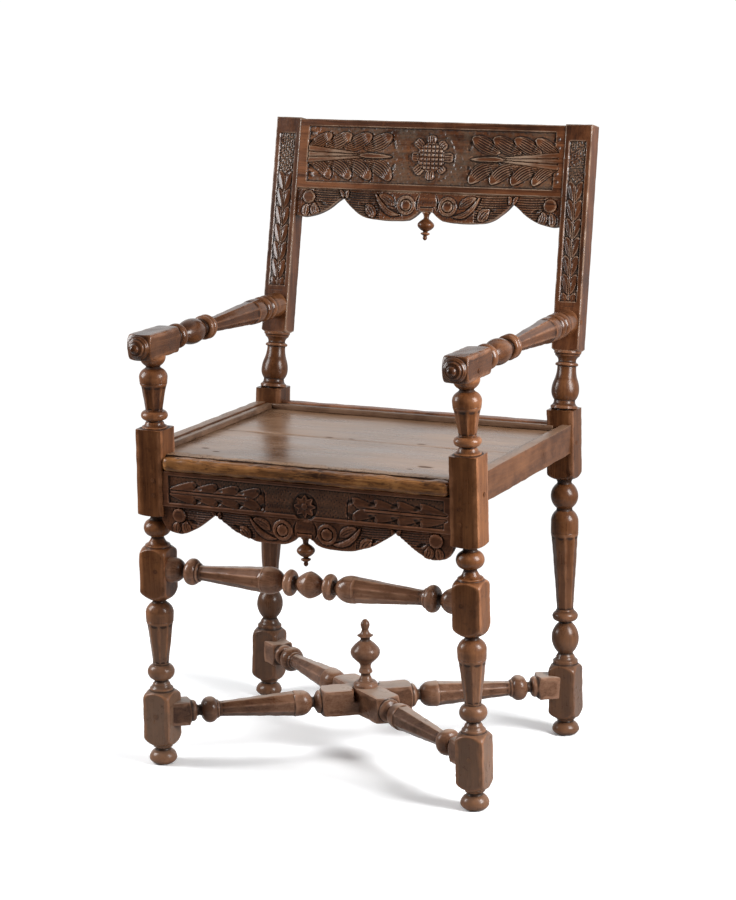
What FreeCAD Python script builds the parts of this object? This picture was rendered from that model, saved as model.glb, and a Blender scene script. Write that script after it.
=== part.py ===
import FreeCAD, Part
import math
import os

os.makedirs("parts", exist_ok=True)

# Turned open armchair: four square-and-turned posts, pegged rails, arms,
# a carved crest, a plank seat and crossed stretchers with a finial.
# Millimetres, +Z up, the sitter faces -Y; the origin ends up under the middle.

# posts
post_spacing = 520.0
post_depth = 406.3
block = 45.0
front_splay = 0.0125
front_lean = 0.0197
rear_splay = 0.0228
rear_lean = 0.026
back_rake = 0.193
back_inward = 0.0078
foot_spare = 1.5
peg_radius = 3.6
peg_proud = 0.6
tight_fit = 0.1
slide_fit = 0.3
end_gap = 1.0

# sections of the front posts, from the floor
front_foot = 31.0
front_low_block = 90.0
front_baluster = 149.0
stretcher_block = 86.0
front_ball = 51.0
front_seat_block = 137.5

# sections of the rear posts, from the floor
rear_foot = 27.0
rear_low_block = 91.0
rear_seat_block = 114.0
rear_step = 6.5
vase_length = 92.0
back_length = 452.0
back_post_depth = 33.0
back_panel_border = 8.0
back_panel_sink = 2.5
back_panel_bottom = 170.0
back_panel_top = 426.0

# arms
arm_block = 40.0
arm_height = 676.0
arm_front = 46.0
arm_block_length = 97.0
arm_radius = 21.0
arm_button = 19.0
arm_tenon_radius = 9.0
arm_tenon_length = 18.0
post_tenon_radius = 9.0
post_tenon_length = 28.0

# crest
crest_height = 115.0
crest_below_top = 2.0
crest_thick = 24.0
crest_setback = 1.5
crest_border = 11.0
crest_end_border = 15.0
crest_sink = 3.0
crest_tenon_thick = 8.0
crest_tenon_length = 28.0
valance_thick = 14.0
valance_drop = 48.0
valance_tongue = 6.0
valance_tongue_thick = 5.0

# seat
rail_below_top = 28.0
side_rail_height = 46.0
side_rail_thick = 18.0
side_rail_setback = 1.5
rear_rail_setback = 9.0
strip_width = 13.0
strip_height = 11.5
seat_thick = 23.0
seat_front = 24.5
nosing_width = 17.0
plank_gap = 0.4
plank_seam = 198.0
plank_tongue = 7.0
plank_tongue_thick = 8.0
front_rail_height = 56.0
front_rail_thick = 22.0
front_rail_setback = 4.0
front_border = 6.0
front_end_border = 8.0
front_sink = 2.5
rail_tenon_length = 30.0
rail_tenon_thick = 8.0
tenon_shoulder = 6.0
front_valance_drop = 42.0

# stretchers
stretcher_rise = 7.0
stretcher_radius = 21.2
stretcher_tenon_radius = 8.5
stretcher_tenon_length = 30.0
cross_rise = 6.0
cross_block = 42.0
cross_block_length = 148.0
cross_tenon_thick = 12.0
cross_tenon_height = 24.0
finial_height = 111.0
finial_radius = 24.0
finial_pin_radius = 6.0
finial_pin_length = 26.0
drop_radius = 14.0
drop_length = 46.0
drop_pin_radius = 3.5
drop_pin_length = 14.0

# shares of the size that each one follows
corner_share = 1.48
swell_share = 2 / 3
octagon_share = 0.985
vase_neck_share = 0.6
vase_top_share = 0.98
back_chamfer_share = 0.30
arm_end_share = 0.97
stretcher_end_share = 0.96
wide_share = 0.8
nosing_round_share = 0.8
strip_round_share = 0.35
peg_depth_share = 0.72
rail_peg_share = (0.30, 0.72)
rail_peg_inset_share = 0.25
stretcher_peg_share = 0.3
rear_peg_share = 0.27
side_peg_share = 0.32
side_peg_offset_share = 0.2
crest_peg_share = (0.26, 0.74)
crest_peg_inset_share = 0.7
arm_peg_share = 0.35
arm_tenon_peg_share = 0.45
stretcher_seat_share = 0.33
cross_end_share = 0.25
cross_tenon_share = 0.2

# Square blocks: radius below, rise of the shoulder, radius above, fall of the shoulder
front_low_block_share = (0.74, 0.75, 0.83, 0.62)
stretcher_block_share = (0.60, 0.80, 0.88, 0.60)
front_seat_block_share = (0.62, 0.18, 1.30, 0.03)
rear_low_block_share = (0.74, 0.70, 0.90, 0.66)
rear_seat_block_share = (0.64, 0.54, 1.36, 0.03)
arm_block_share = (0.93, 0.62, 0.74, 0.70)
cross_block_share = (0.90, 0.45, 0.90, 0.45)

# Each turning row: place along the section, radius, radius half-way there (zero = straight)
front_foot_share = [
    (0.00, 0.58, 0.0), (0.26, 0.985, 0.89), (0.71, 0.56, 0.91), (0.80, 0.49, 0.0),
    (0.88, 0.53, 0.0), (0.88, 0.68, 0.0), (1.00, 0.72, 0.0)]
front_baluster_share = [
    (0.00, 0.83, 0.0), (0.025, 0.83, 0.0), (0.075, 0.60, 0.66), (0.10, 0.46, 0.0),
    (0.115, 0.46, 0.0), (0.285, 0.54, 0.94), (0.305, 0.58, 0.0), (0.745, 0.93, 0.0),
    (0.76, 0.96, 0.0), (0.86, 0.985, 0.0), (0.965, 0.52, 0.88), (0.985, 0.45, 0.0),
    (1.00, 0.52, 0.0)]
front_octagon_share = (0.305, 0.58, 0.745, 0.93)
front_ball_share = [
    (0.00, 0.88, 0.0), (0.06, 0.88, 0.0), (0.20, 0.53, 0.62), (0.27, 0.44, 0.0),
    (0.33, 0.46, 0.0), (0.84, 0.53, 0.95), (0.92, 0.45, 0.0), (1.00, 0.55, 0.0)]
arm_baluster_share = [
    (0.00, 0.89, 0.0), (0.025, 0.89, 0.0), (0.08, 0.64, 0.68), (0.10, 0.54, 0.0),
    (0.115, 0.55, 0.0), (0.245, 0.57, 0.92), (0.265, 0.60, 0.0), (0.615, 0.91, 0.0),
    (0.63, 0.94, 0.0), (0.72, 0.975, 0.0), (0.84, 0.58, 0.90), (0.865, 0.47, 0.0),
    (0.885, 0.53, 0.0), (1.00, 0.90, 0.81)]
arm_octagon_share = (0.265, 0.60, 0.615, 0.91)
rear_foot_share = [
    (0.00, 0.60, 0.0), (0.26, 0.99, 0.90), (0.76, 0.56, 0.91), (0.87, 0.52, 0.0),
    (0.87, 0.66, 0.0), (1.00, 0.70, 0.0)]
rear_baluster_share = [
    (0.00, 0.90, 0.0), (0.02, 0.90, 0.0), (0.045, 0.66, 0.72), (0.055, 0.55, 0.0),
    (0.062, 0.55, 0.0), (0.225, 0.46, 0.985), (0.235, 0.45, 0.0), (0.285, 0.72, 0.93),
    (0.298, 0.60, 0.0), (0.70, 0.97, 0.0), (0.71, 0.985, 0.0), (0.78, 0.985, 0.0),
    (0.832, 0.58, 0.88), (0.845, 0.56, 0.0), (0.975, 0.52, 0.985), (0.985, 0.50, 0.0),
    (1.00, 0.60, 0.0)]
rear_octagon_share = (0.298, 0.60, 0.70, 0.97)
vase_share = [
    (0.00, 0.97, 0.0), (0.05, 0.97, 0.0), (0.12, 0.76, 0.80), (0.15, 0.74, 0.0),
    (0.31, 0.985, 0.93), (0.52, 0.82, 0.95), (0.72, 0.67, 0.71), (0.74, 0.67, 0.0),
    (0.75, 0.80, 0.0), (0.79, 0.80, 0.82), (0.81, 0.64, 0.0), (0.88, 0.70, 0.64),
    (0.92, 0.88, 0.77), (0.955, 0.90, 0.0), (0.96, 0.97, 0.0), (1.00, 0.98, 0.0)]

# Arm turning behind its block, share of the free length and of the arm radius
arm_share = [
    (0.00, 0.70, 0.0), (0.035, 0.70, 0.0), (0.082, 0.70, 0.95), (0.088, 0.52, 0.0),
    (0.105, 0.50, 0.0), (0.272, 0.52, 0.96), (0.285, 0.60, 0.0), (0.313, 0.70, 0.93),
    (0.342, 0.64, 0.93), (0.355, 0.56, 0.0), (0.365, 0.57, 0.0), (0.745, 0.98, 0.0),
    (0.790, 0.99, 0.0), (0.823, 0.76, 0.94), (0.830, 0.76, 0.0), (0.872, 0.82, 1.00),
    (0.880, 0.82, 0.0), (0.920, 0.88, 1.00), (0.940, 0.93, 0.0), (1.00, 0.97, 0.0)]
arm_taper_share = (0.365, 0.57, 0.745, 0.98)
button_share = [
    (0.00, 0.10, 0.0), (0.15, 0.29, 0.23), (0.30, 0.37, 0.35), (0.38, 0.34, 0.0),
    (0.48, 0.58, 0.42), (0.56, 0.66, 0.0), (0.63, 0.66, 0.0), (0.70, 0.80, 0.71),
    (0.80, 0.84, 0.0), (0.86, 0.90, 0.0), (1.00, 0.93, 0.93)]

# Front stretcher from its middle outwards, share of half its length
stretcher_share = [
    (0.00, 0.99, 0.0), (0.088, 0.40, 0.80), (0.10, 0.36, 0.0), (0.112, 0.50, 0.0),
    (0.164, 0.50, 0.97), (0.176, 0.36, 0.0), (0.186, 0.40, 0.0), (0.290, 1.00, 0.88),
    (0.320, 0.98, 0.0), (0.775, 0.56, 0.0), (0.782, 0.56, 0.0), (0.790, 0.72, 0.0),
    (0.802, 0.72, 0.0), (0.880, 0.42, 0.99), (0.895, 0.34, 0.0), (0.905, 0.40, 0.0),
    (0.965, 0.92, 0.78), (1.00, 0.96, 0.0)]
stretcher_taper_share = (0.320, 0.98, 0.775, 0.56)

# Cross stretchers from the middle block outwards, share of the run to the post centre
cross_share = [
    (0.00, 0.90, 0.0), (0.012, 0.90, 0.0), (0.030, 0.66, 0.84), (0.045, 0.40, 0.0),
    (0.058, 0.42, 0.0), (0.125, 0.97, 0.86), (0.165, 1.00, 0.0), (0.170, 0.98, 0.0),
    (0.630, 0.58, 0.0), (0.638, 0.58, 0.0), (0.645, 0.70, 0.0), (0.655, 0.70, 0.0),
    (0.748, 0.44, 0.99), (0.765, 0.38, 0.0), (0.780, 0.46, 0.0),
    (0.800, 0.82, 0.76), (0.812, 0.82, 0.0), (0.820, 0.94, 0.0), (0.835, 1.45, 1.20)]
cross_taper_share = (0.170, 0.98, 0.630, 0.58)

finial_share = [
    (0.00, 0.80, 0.0), (0.035, 0.82, 0.0), (0.075, 0.66, 0.76), (0.12, 0.42, 0.46),
    (0.16, 0.32, 0.0), (0.19, 0.32, 0.0), (0.21, 0.46, 0.0), (0.24, 0.44, 0.46),
    (0.28, 0.36, 0.0), (0.35, 0.44, 0.37), (0.435, 0.84, 0.65), (0.585, 0.84, 0.985),
    (0.68, 0.37, 0.64), (0.70, 0.30, 0.0), (0.73, 0.34, 0.0), (0.76, 0.56, 0.0),
    (0.83, 0.24, 0.32), (0.85, 0.22, 0.0), (0.93, 0.31, 0.29), (1.00, 0.08, 0.24)]
drop_share = [
    (0.00, 0.48, 0.0), (0.05, 0.50, 0.0), (0.11, 0.34, 0.38), (0.21, 0.29, 0.0),
    (0.25, 0.38, 0.0), (0.37, 0.86, 0.66), (0.55, 0.86, 0.99), (0.67, 0.30, 0.66),
    (0.71, 0.25, 0.0), (0.74, 0.54, 0.0), (0.78, 0.54, 0.0), (0.84, 0.20, 0.0),
    (0.93, 0.26, 0.25), (1.00, 0.06, 0.20)]

# Lower edge of the crest valance: share of the half width, share of the depth
crest_edge_share = [
    (1.00, 0.84, 0.0), (0.91, 1.00, 0.96), (0.80, 0.86, 0.95), (0.70, 0.57, 0.74),
    (0.62, 0.27, 0.40), (0.53, 0.70, 0.52), (0.38, 0.98, 0.92), (0.22, 1.00, 1.01),
    (0.13, 0.96, 0.99), (0.05, 0.66, 0.84), (0.00, 0.66, 0.0)]
front_edge_share = [
    (1.00, 0.55, 0.0), (0.96, 0.90, 0.76), (0.86, 1.00, 0.98), (0.74, 0.68, 0.88),
    (0.62, 0.15, 0.42), (0.53, 0.52, 0.36), (0.40, 0.86, 0.74), (0.30, 1.00, 0.96),
    (0.15, 0.99, 1.01), (0.08, 0.86, 0.95), (0.035, 0.66, 0.74), (0.00, 0.66, 0.0)]

# heights and half sizes that follow from the named ones
zero = 0.0
facets = 8
quarter_turn = 90
half_turn = 180
full_turn = 360
half = block / 2
corner_radius = half * corner_share
front_top = (front_foot + front_low_block + front_baluster + stretcher_block
             + front_ball + front_seat_block)
rear_top = front_top - rear_step
rear_baluster = rear_top - rear_foot - rear_low_block - rear_seat_block
arm_half = arm_block / 2
arm_baluster = arm_height - arm_half - end_gap - front_top
back_half = back_post_depth / 2
front_stretcher_height = (front_foot + front_low_block + front_baluster
                          + stretcher_block / 2 + stretcher_rise)
cross_height = front_foot + front_low_block / 2 + cross_rise
cross_half = cross_block / 2
rail_top = front_top - rail_below_top
rail_low = rail_top - side_rail_height
seat_top = rail_top - strip_height
seat_under = seat_top - seat_thick
side_face = post_spacing / 2 + half - side_rail_setback
side_inner = side_face - side_rail_thick
rear_inner = post_depth - half + rear_rail_setback
front_face = -half + front_rail_setback
front_low = seat_under - front_rail_height
crest_high = back_length - crest_below_top
crest_low = crest_high - crest_height
crest_face = -back_half + crest_setback
valance_half = post_spacing / 2 - half * wide_share
back_span = post_spacing / 2 - back_inward * back_length - half
sides = (("left", -1), ("right", 1))


def V(x, y, z):
    return FreeCAD.Vector(x, y, z)


origin = V(zero, zero, zero)
along_x = FreeCAD.Rotation(V(zero, 1, zero), quarter_turn)
laid_back = FreeCAD.Rotation(V(1, zero, zero), -quarter_turn)
upside_down = FreeCAD.Rotation(V(1, zero, zero), half_turn)
back_tilt = FreeCAD.Rotation(V(1, zero, zero), -math.degrees(math.atan(back_rake)))
back_frame = FreeCAD.Placement(V(zero, post_depth, rear_top), back_tilt)


def box(x0, x1, y0, y1, z0, z1):
    return Part.makeBox(x1 - x0, y1 - y0, z1 - z0, V(x0, y0, z0))


def both_ways(half_x, half_y, z0, z1):
    return box(-half_x, half_x, -half_y, half_y, z0, z1)


def rod(radius, length, start, way):
    return Part.makeCylinder(radius, length, start, way)


def largest(shape):
    shape = shape.removeSplitter()
    return max(shape.Solids, key=lambda item: item.Volume)


def placed(shape, spot):
    out = shape.copy()
    out.Placement = spot.multiply(out.Placement)
    return out


def leaning(side, splay, lean, place):
    way = V(-side * splay, lean, 1)
    return FreeCAD.Placement(place, FreeCAD.Rotation(V(zero, zero, 1), way))


# turning: rows of place, radius and the radius half-way there

def scaled(rows, start, length, radius):
    return [(start + place * length, size * radius, middle * radius) for place, size, middle in rows]


def shoulders(start, length, size, shares):
    low, rise, high, fall = [share * size for share in shares]
    return [(start, low, zero),
            (start + rise, corner_radius, low + (corner_radius - low) * swell_share),
            (start + length - fall, corner_radius, zero),
            (start + length, high, high + (corner_radius - high) * swell_share)]


def turned(rows):
    last = V(rows[0][1], zero, rows[0][0])
    foot = V(zero, zero, rows[0][0])
    edges = [Part.makeLine(foot, last)]
    for place, size, middle in rows[1:]:
        here = V(size, zero, place)
        if here.distanceToPoint(last) > zero:
            if middle > zero:
                through = V(middle, zero, (last.z + place) / 2)
                edges.append(Part.Arc(last, through, here).toShape())
            else:
                edges.append(Part.makeLine(last, here))
            last = here
    head = V(zero, zero, last.z)
    edges.append(Part.makeLine(last, head))
    edges.append(Part.makeLine(head, foot))
    return Part.Face(Part.Wire(edges)).revolve(origin, V(zero, zero, 1), full_turn)


def octagon(height, radius):
    points = []
    for index in range(facets + 1):
        angle = math.pi * (2 * index + 1) / facets
        points.append(V(radius * math.cos(angle), radius * math.sin(angle), height))
    return Part.makePolygon(points)


def faceted(body, start, length, radius, taper):
    """Planes eight flats on a tapered stretch of a turning."""
    ends = [start + taper[0] * length, start + taper[2] * length]
    sizes = [taper[1] * radius * octagon_share, taper[3] * radius * octagon_share]
    low, high = min(ends), max(ends)
    ring = rod(corner_radius * 2, high - low, V(zero, zero, low), V(zero, zero, 1))
    core = Part.makeLoft([octagon(ends[0], sizes[0]), octagon(ends[1], sizes[1])], True, True)
    return body.cut(ring.cut(core))


# posts, each in its own upright frame with the floor at zero

def front_post_body():
    low = front_foot
    leg = low + front_low_block
    middle = leg + front_baluster
    ball = middle + stretcher_block
    seat = ball + front_ball
    rows = [(-foot_spare, front_foot_share[0][1] * half, zero)]
    rows += scaled(front_foot_share, zero, front_foot, half)
    rows += shoulders(low, front_low_block, half, front_low_block_share)
    rows += scaled(front_baluster_share, leg, front_baluster, half)
    rows += shoulders(middle, stretcher_block, half, stretcher_block_share)
    rows += scaled(front_ball_share, ball, front_ball, half)
    rows += shoulders(seat, front_seat_block, half, front_seat_block_share)
    rows += scaled(arm_baluster_share, front_top, arm_baluster, half)
    crown = front_top + arm_baluster
    rows += [(crown + tenon_shoulder, rows[-1][1], zero),
             (crown + tenon_shoulder, post_tenon_radius, zero),
             (crown + post_tenon_length, post_tenon_radius, zero)]
    body = faceted(turned(rows), leg, front_baluster, half, front_octagon_share)
    body = faceted(body, front_top, arm_baluster, half, arm_octagon_share)
    return body.common(both_ways(half, half, -foot_spare, crown + post_tenon_length))


def rear_leg_body():
    leg = rear_foot + rear_low_block
    seat = leg + rear_baluster
    rows = [(-foot_spare, rear_foot_share[0][1] * half, zero)]
    rows += scaled(rear_foot_share, zero, rear_foot, half)
    rows += shoulders(rear_foot, rear_low_block, half, rear_low_block_share)
    rows += scaled(rear_baluster_share, leg, rear_baluster, half)
    rows += shoulders(seat, rear_seat_block, half, rear_seat_block_share)
    body = faceted(turned(rows), leg, rear_baluster, half, rear_octagon_share)
    return body.common(both_ways(half, half, -foot_spare, rear_top))


def back_body():
    neck = half * vase_neck_share
    rows = [(-half / 2, neck, zero), (zero, neck, zero)]
    rows += scaled(vase_share, zero, vase_length, half)
    vase = turned(rows)
    rise = half * back_chamfer_share
    chamfer = Part.makeCone(half * vase_top_share, corner_radius, rise, V(zero, zero, vase_length))
    upright = rod(corner_radius, back_length, V(zero, zero, vase_length + rise), V(zero, zero, 1))
    square = both_ways(half, back_half, vase_length, back_length).common(chamfer.fuse(upright))
    rim = half - back_panel_border
    panel = box(-rim, rim, -back_half - back_panel_sink, -back_half + back_panel_sink,
                back_panel_bottom, back_panel_top)
    return vase.fuse(square).cut(panel)


def make_posts():
    front, leg, back = front_post_body(), rear_leg_body(), back_body()
    shapes, spots = {}, {}
    for name, side in sides:
        spot = leaning(side, front_splay, -front_lean, V(side * post_spacing / 2, zero, front_top))
        shapes["front_post_" + name] = placed(front.translated(V(zero, zero, -front_top)), spot)
        spots[name] = spot
        knee = V(side * post_spacing / 2, post_depth, rear_top)
        lower = leaning(side, rear_splay, rear_lean, knee)
        upper = leaning(side, back_inward, back_rake, knee)
        shape = placed(leg.translated(V(zero, zero, -rear_top)), lower)
        shapes["rear_post_" + name] = largest(shape.fuse(placed(back, upper)))
    return shapes, spots


# arms: block and button in front, octagonal swell, round end against the back post

def arm_across(side):
    return side * (post_spacing / 2 - front_splay * (arm_height - front_top))


arm_end = post_depth + back_rake * (arm_height - rear_top) - back_half
arm_run = arm_end - (arm_block_length - arm_front)


def arm_body():
    swell = faceted(turned(scaled(arm_share, zero, arm_run, arm_radius)), zero, arm_run, arm_radius,
                    arm_taper_share)
    end = rod(arm_radius * arm_end_share, block, V(zero, zero, arm_run), V(zero, zero, 1))
    square = turned(shoulders(-arm_block_length, arm_block_length, arm_half, arm_block_share))
    square = square.common(both_ways(arm_half, arm_half, -arm_block_length, zero))
    button = turned(scaled(button_share, -arm_block_length - arm_button, arm_button, arm_half))
    return largest(swell.fuse([end, square, button]))


def make_arms(posts, spots):
    body = arm_body()
    under = arm_height - arm_half
    above = box(-post_spacing, post_spacing, -post_depth, post_depth, under, under + post_depth)
    arms = {}
    for name, side in sides:
        across = arm_across(side)
        spot = FreeCAD.Placement(V(across, arm_block_length - arm_front, arm_height), laid_back)
        arm = largest(placed(body, spot).cut(posts["rear_post_" + name]))
        start = V(across, arm_end - half, arm_height)
        pin = rod(arm_tenon_radius, arm_tenon_length + half, start, V(zero, 1, zero))
        hole = rod(arm_tenon_radius + slide_fit, arm_tenon_length + half + end_gap, start, V(zero, 1, zero))
        stem = rod(post_tenon_radius + slide_fit, tenon_shoulder + post_tenon_length + end_gap,
                   V(zero, zero, arm_baluster - tenon_shoulder), V(zero, zero, 1))
        keep = rod(post_tenon_radius, post_tenon_length + block, V(zero, zero, arm_baluster - block),
                   V(zero, zero, 1))
        cap = above.cut(placed(keep, spots[name]))
        posts["front_post_" + name] = largest(posts["front_post_" + name].cut(cap))
        posts["rear_post_" + name] = posts["rear_post_" + name].cut(hole)
        arms["arm_" + name] = largest(arm.fuse(pin).cut(placed(stem, spots[name])))
    return arms


# front stretcher, mirrored about its middle, along X

stretcher_y = front_lean * (front_top - front_stretcher_height)
stretcher_half = post_spacing / 2 - half + front_splay * (front_top - front_stretcher_height)


def stretcher_rod(more):
    reach = stretcher_half + stretcher_tenon_length + more
    grown = stretcher_tenon_radius + (slide_fit if more else zero)
    return rod(grown, reach * 2, V(-reach, stretcher_y, front_stretcher_height), V(1, zero, zero))


def front_stretcher_body():
    outer = turned(scaled(stretcher_share, zero, stretcher_half, stretcher_radius))
    outer = faceted(outer, zero, stretcher_half, stretcher_radius, stretcher_taper_share)
    outer = outer.fuse(rod(stretcher_radius * stretcher_end_share, half * stretcher_seat_share,
                           V(zero, zero, stretcher_half), V(zero, zero, 1)))
    whole = outer.fuse(outer.mirror(origin, V(zero, zero, 1)))
    return placed(whole, FreeCAD.Placement(V(zero, stretcher_y, front_stretcher_height), along_x))


# crossed stretchers, halved into each other under the finial

fore_drop = front_top - cross_height
aft_drop = rear_top - cross_height
fore_y = front_lean * fore_drop
aft_y = post_depth - rear_lean * aft_drop
middle_x = (post_spacing + front_splay * fore_drop + rear_splay * aft_drop) / 2
middle_y = (fore_y + aft_y) / 2
reach_y = (aft_y - fore_y) / 2
cross_reach = math.hypot(middle_x, reach_y)
cross_angle = math.degrees(math.atan2(reach_y, middle_x))


def cross_spot(side):
    turn = FreeCAD.Rotation(V(zero, zero, 1), cross_angle * side)
    return FreeCAD.Placement(V(zero, middle_y, cross_height), turn.multiply(along_x))


def cross_bar_body():
    start = cross_block_length / 2
    run = cross_reach - start
    limb = turned(scaled(cross_share, start, run, cross_half))
    limb = faceted(limb, start, run, cross_half, cross_taper_share)
    end = start + cross_share[-1][0] * run
    tip = cross_reach - half * cross_end_share
    limb = limb.fuse(turned([(end, corner_radius, zero), (tip, corner_radius, zero)]))
    square = turned(shoulders(-start, cross_block_length, cross_half, cross_block_share))
    whole = limb.fuse([limb.mirror(origin, V(zero, zero, 1)), square])
    return largest(whole.common(both_ways(cross_half, cross_half, -cross_reach, cross_reach)))


def cross_tenon_bar(grown, more):
    tall = cross_tenon_height / 2 + grown
    wide = cross_tenon_thick / 2 + grown
    reach = cross_reach + half * cross_tenon_share + more
    return both_ways(tall, wide, -reach, reach)


def halving(side, low, high):
    bar = both_ways(cross_block_length, cross_half, low, high)
    bar = bar.rotated(origin, V(zero, zero, 1), cross_angle * side)
    return bar.translated(V(zero, middle_y, cross_height))


def make_cross_bars():
    body = cross_bar_body()
    tenon = cross_tenon_bar(zero, zero)
    hole = rod(finial_pin_radius + tight_fit, finial_pin_length + end_gap,
               V(zero, middle_y, cross_height + cross_half), V(zero, zero, -1))
    middle = both_ways(cross_block, cross_block, -cross_block, cross_block)
    middle = middle.translated(V(zero, middle_y, cross_height))
    bars = {}
    for name, side, low, high in (("under", 1, zero, cross_block), ("over", -1, -cross_block, zero)):
        bar = placed(body, cross_spot(side)).cut(halving(-side, low, high)).cut(hole)
        bars["cross_stretcher_" + name] = (bar, placed(tenon, cross_spot(side)).cut(middle))
    return bars


def finial_body():
    body = turned(scaled(finial_share, zero, finial_height, finial_radius))
    body = body.fuse(rod(finial_pin_radius, finial_pin_length, origin, V(zero, zero, -1)))
    return largest(body.translated(V(zero, middle_y, cross_height + cross_half)))


# crest, valances and drops

def valance_body(rows, drop, top, face):
    """A shaped board with a tongue on its upper edge."""
    edges = []
    half_width = valance_half
    for sign in (1, -1):
        last = V(sign * rows[0][0] * half_width, face, top - rows[0][1] * drop)
        for place, depth, middle in rows[1:]:
            here = V(sign * place * half_width, face, top - depth * drop)
            if middle > zero:
                through = V((last.x + here.x) / 2, face, top - middle * drop)
                edges.append(Part.Arc(last, through, here).toShape())
            else:
                edges.append(Part.makeLine(last, here))
            last = here
    low = top - rows[0][1] * drop
    corners = [V(half_width, face, low), V(half_width, face, top), V(-half_width, face, top),
               V(-half_width, face, low)]
    edges += [Part.makeLine(a, b) for a, b in zip(corners, corners[1:])]
    board = Part.Face(Part.Wire(Part.__sortEdges__(edges))).extrude(V(zero, valance_thick, zero))
    return board.fuse(tongue_bar(face, top, zero)).removeSplitter()


def tongue_bar(face, top, grown):
    middle = face + valance_thick / 2
    thick = valance_tongue_thick / 2 + grown
    end = valance_half - half + grown
    low = top - valance_tongue if grown else top
    return box(-end, end, middle - thick, middle + thick, low, top + valance_tongue + grown)


def drop_body():
    body = turned(scaled(drop_share, zero, drop_length, drop_radius))
    return largest(body.fuse(rod(drop_pin_radius, drop_pin_length, origin, V(zero, zero, -1))))


def drop_hole(spot):
    return rod(drop_pin_radius + tight_fit, drop_pin_length + end_gap, spot, V(zero, zero, 1))


def crest_panel_rail():
    rail = box(-valance_half, valance_half, crest_face, crest_face + crest_thick, crest_low, crest_high)
    end = back_span - crest_end_border
    return rail.cut(box(-end, end, crest_face - crest_sink, crest_face + crest_sink,
                        crest_low + crest_border, crest_high - crest_border))


def crest_tenon(grown, more):
    middle = crest_face + crest_thick / 2
    thick = crest_tenon_thick / 2 + grown
    tip = back_span + crest_tenon_length + back_inward * crest_height + more
    return box(-tip, tip, middle - thick, middle + thick,
               crest_low + crest_border - grown, crest_high - crest_border + grown)


def make_crest():
    face = crest_face + crest_sink
    under = V(zero, face + valance_thick / 2, crest_low - crest_edge_share[-1][1] * valance_drop)
    rail = crest_panel_rail().cut(tongue_bar(face, crest_low, slide_fit)).cut(drop_hole(under))
    valance = valance_body(crest_edge_share, valance_drop, crest_low, face).cut(drop_hole(under))
    drop = placed(drop_body(), FreeCAD.Placement(under, upside_down))
    return [placed(shape, back_frame) for shape in (rail, valance, drop)]


def make_front_panel():
    face = front_face + front_sink
    under = V(zero, face + valance_thick / 2, front_low - front_edge_share[-1][1] * front_valance_drop)
    valance = valance_body(front_edge_share, front_valance_drop, front_low, face).cut(drop_hole(under))
    rail = box(-post_spacing / 2, post_spacing / 2, front_face, front_face + front_rail_thick,
               front_low, seat_under)
    end = post_spacing / 2 - half - front_end_border
    rail = rail.cut(box(-end, end, front_face - front_sink, front_face + front_sink,
                        front_low + front_border, seat_under - front_border))
    drop = placed(drop_body(), FreeCAD.Placement(under, upside_down))
    cuts = [tongue_bar(face, front_low, slide_fit), drop_hole(under)]
    return rail, valance, drop, cuts


# tenons of the seat frame, and the mortises that take them

def rail_tenon(name, grown, more):
    thick = rail_tenon_thick / 2 + grown
    tip = post_spacing / 2 - half + rail_tenon_length + more
    mid_z = rail_low + side_rail_height / 2
    if name == "front":
        middle = front_face + front_rail_thick / 2
        return box(-tip, tip, middle - thick, middle + thick,
                   front_low + tenon_shoulder - grown, seat_under - tenon_shoulder + grown)
    if name == "rear":
        middle = rear_inner + side_rail_thick / 2
        return box(-tip, tip, middle - thick, middle + thick,
                   mid_z + tenon_shoulder / 2 - grown, rail_top - tenon_shoulder + grown)
    middle = dict(sides)[name] * (side_face - side_rail_thick / 2)
    return box(middle - thick, middle + thick, half - rail_tenon_length - more,
               post_depth - half + rail_tenon_length + more,
               rail_low + tenon_shoulder - grown, mid_z + grown)


# planks, nosing and strips

tongue_low = seat_under + (seat_thick - plank_tongue_thick) / 2
tongue_high = tongue_low + plank_tongue_thick
nosing_back = -seat_front + nosing_width
rear_tongue_half = post_spacing / 2 - block


def plank_body(near, far, last):
    plank = box(-side_inner, side_inner, near, far, seat_under, seat_top)
    reach = side_inner + plank_tongue
    near_tongue = max(near, half + plank_tongue)
    far_tongue = min(far, post_depth - half - plank_tongue)
    plank = plank.fuse(box(-reach, reach, near_tongue, far_tongue, tongue_low, tongue_high))
    if last:
        plank = plank.fuse(box(-rear_tongue_half, rear_tongue_half, far, far + plank_tongue,
                               tongue_low, tongue_high))
    return plank.removeSplitter()


def side_slot():
    reach = side_inner + plank_tongue + end_gap
    return box(-reach, reach, half + plank_tongue - end_gap, post_depth - half - plank_tongue + end_gap,
               tongue_low - slide_fit, tongue_high + slide_fit)


def rear_slot():
    reach = rear_tongue_half + end_gap
    return box(-reach, reach, rear_inner - plank_tongue, rear_inner + plank_tongue + end_gap,
               tongue_low - slide_fit, tongue_high + slide_fit)


def nosing_body():
    reach = post_spacing / 2 - half + front_splay * (front_top - seat_top)
    nosing = box(-reach, reach, -seat_front, nosing_back, seat_under, seat_top)
    front = [edge for edge in nosing.Edges if edge.BoundBox.YMax < -seat_front + plank_gap
             and edge.BoundBox.XLength > reach]
    return nosing.makeFillet(seat_thick / 2 * nosing_round_share, front)


def rounded_strip(body, inner):
    bevel = strip_height * strip_round_share
    edges = [edge for edge in body.Edges if edge.BoundBox.DiagonalLength > strip_width * 2
             and edge.BoundBox.ZMin > rail_top - bevel and inner(edge.BoundBox.Center)]
    return body.makeFillet(bevel, edges)


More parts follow.
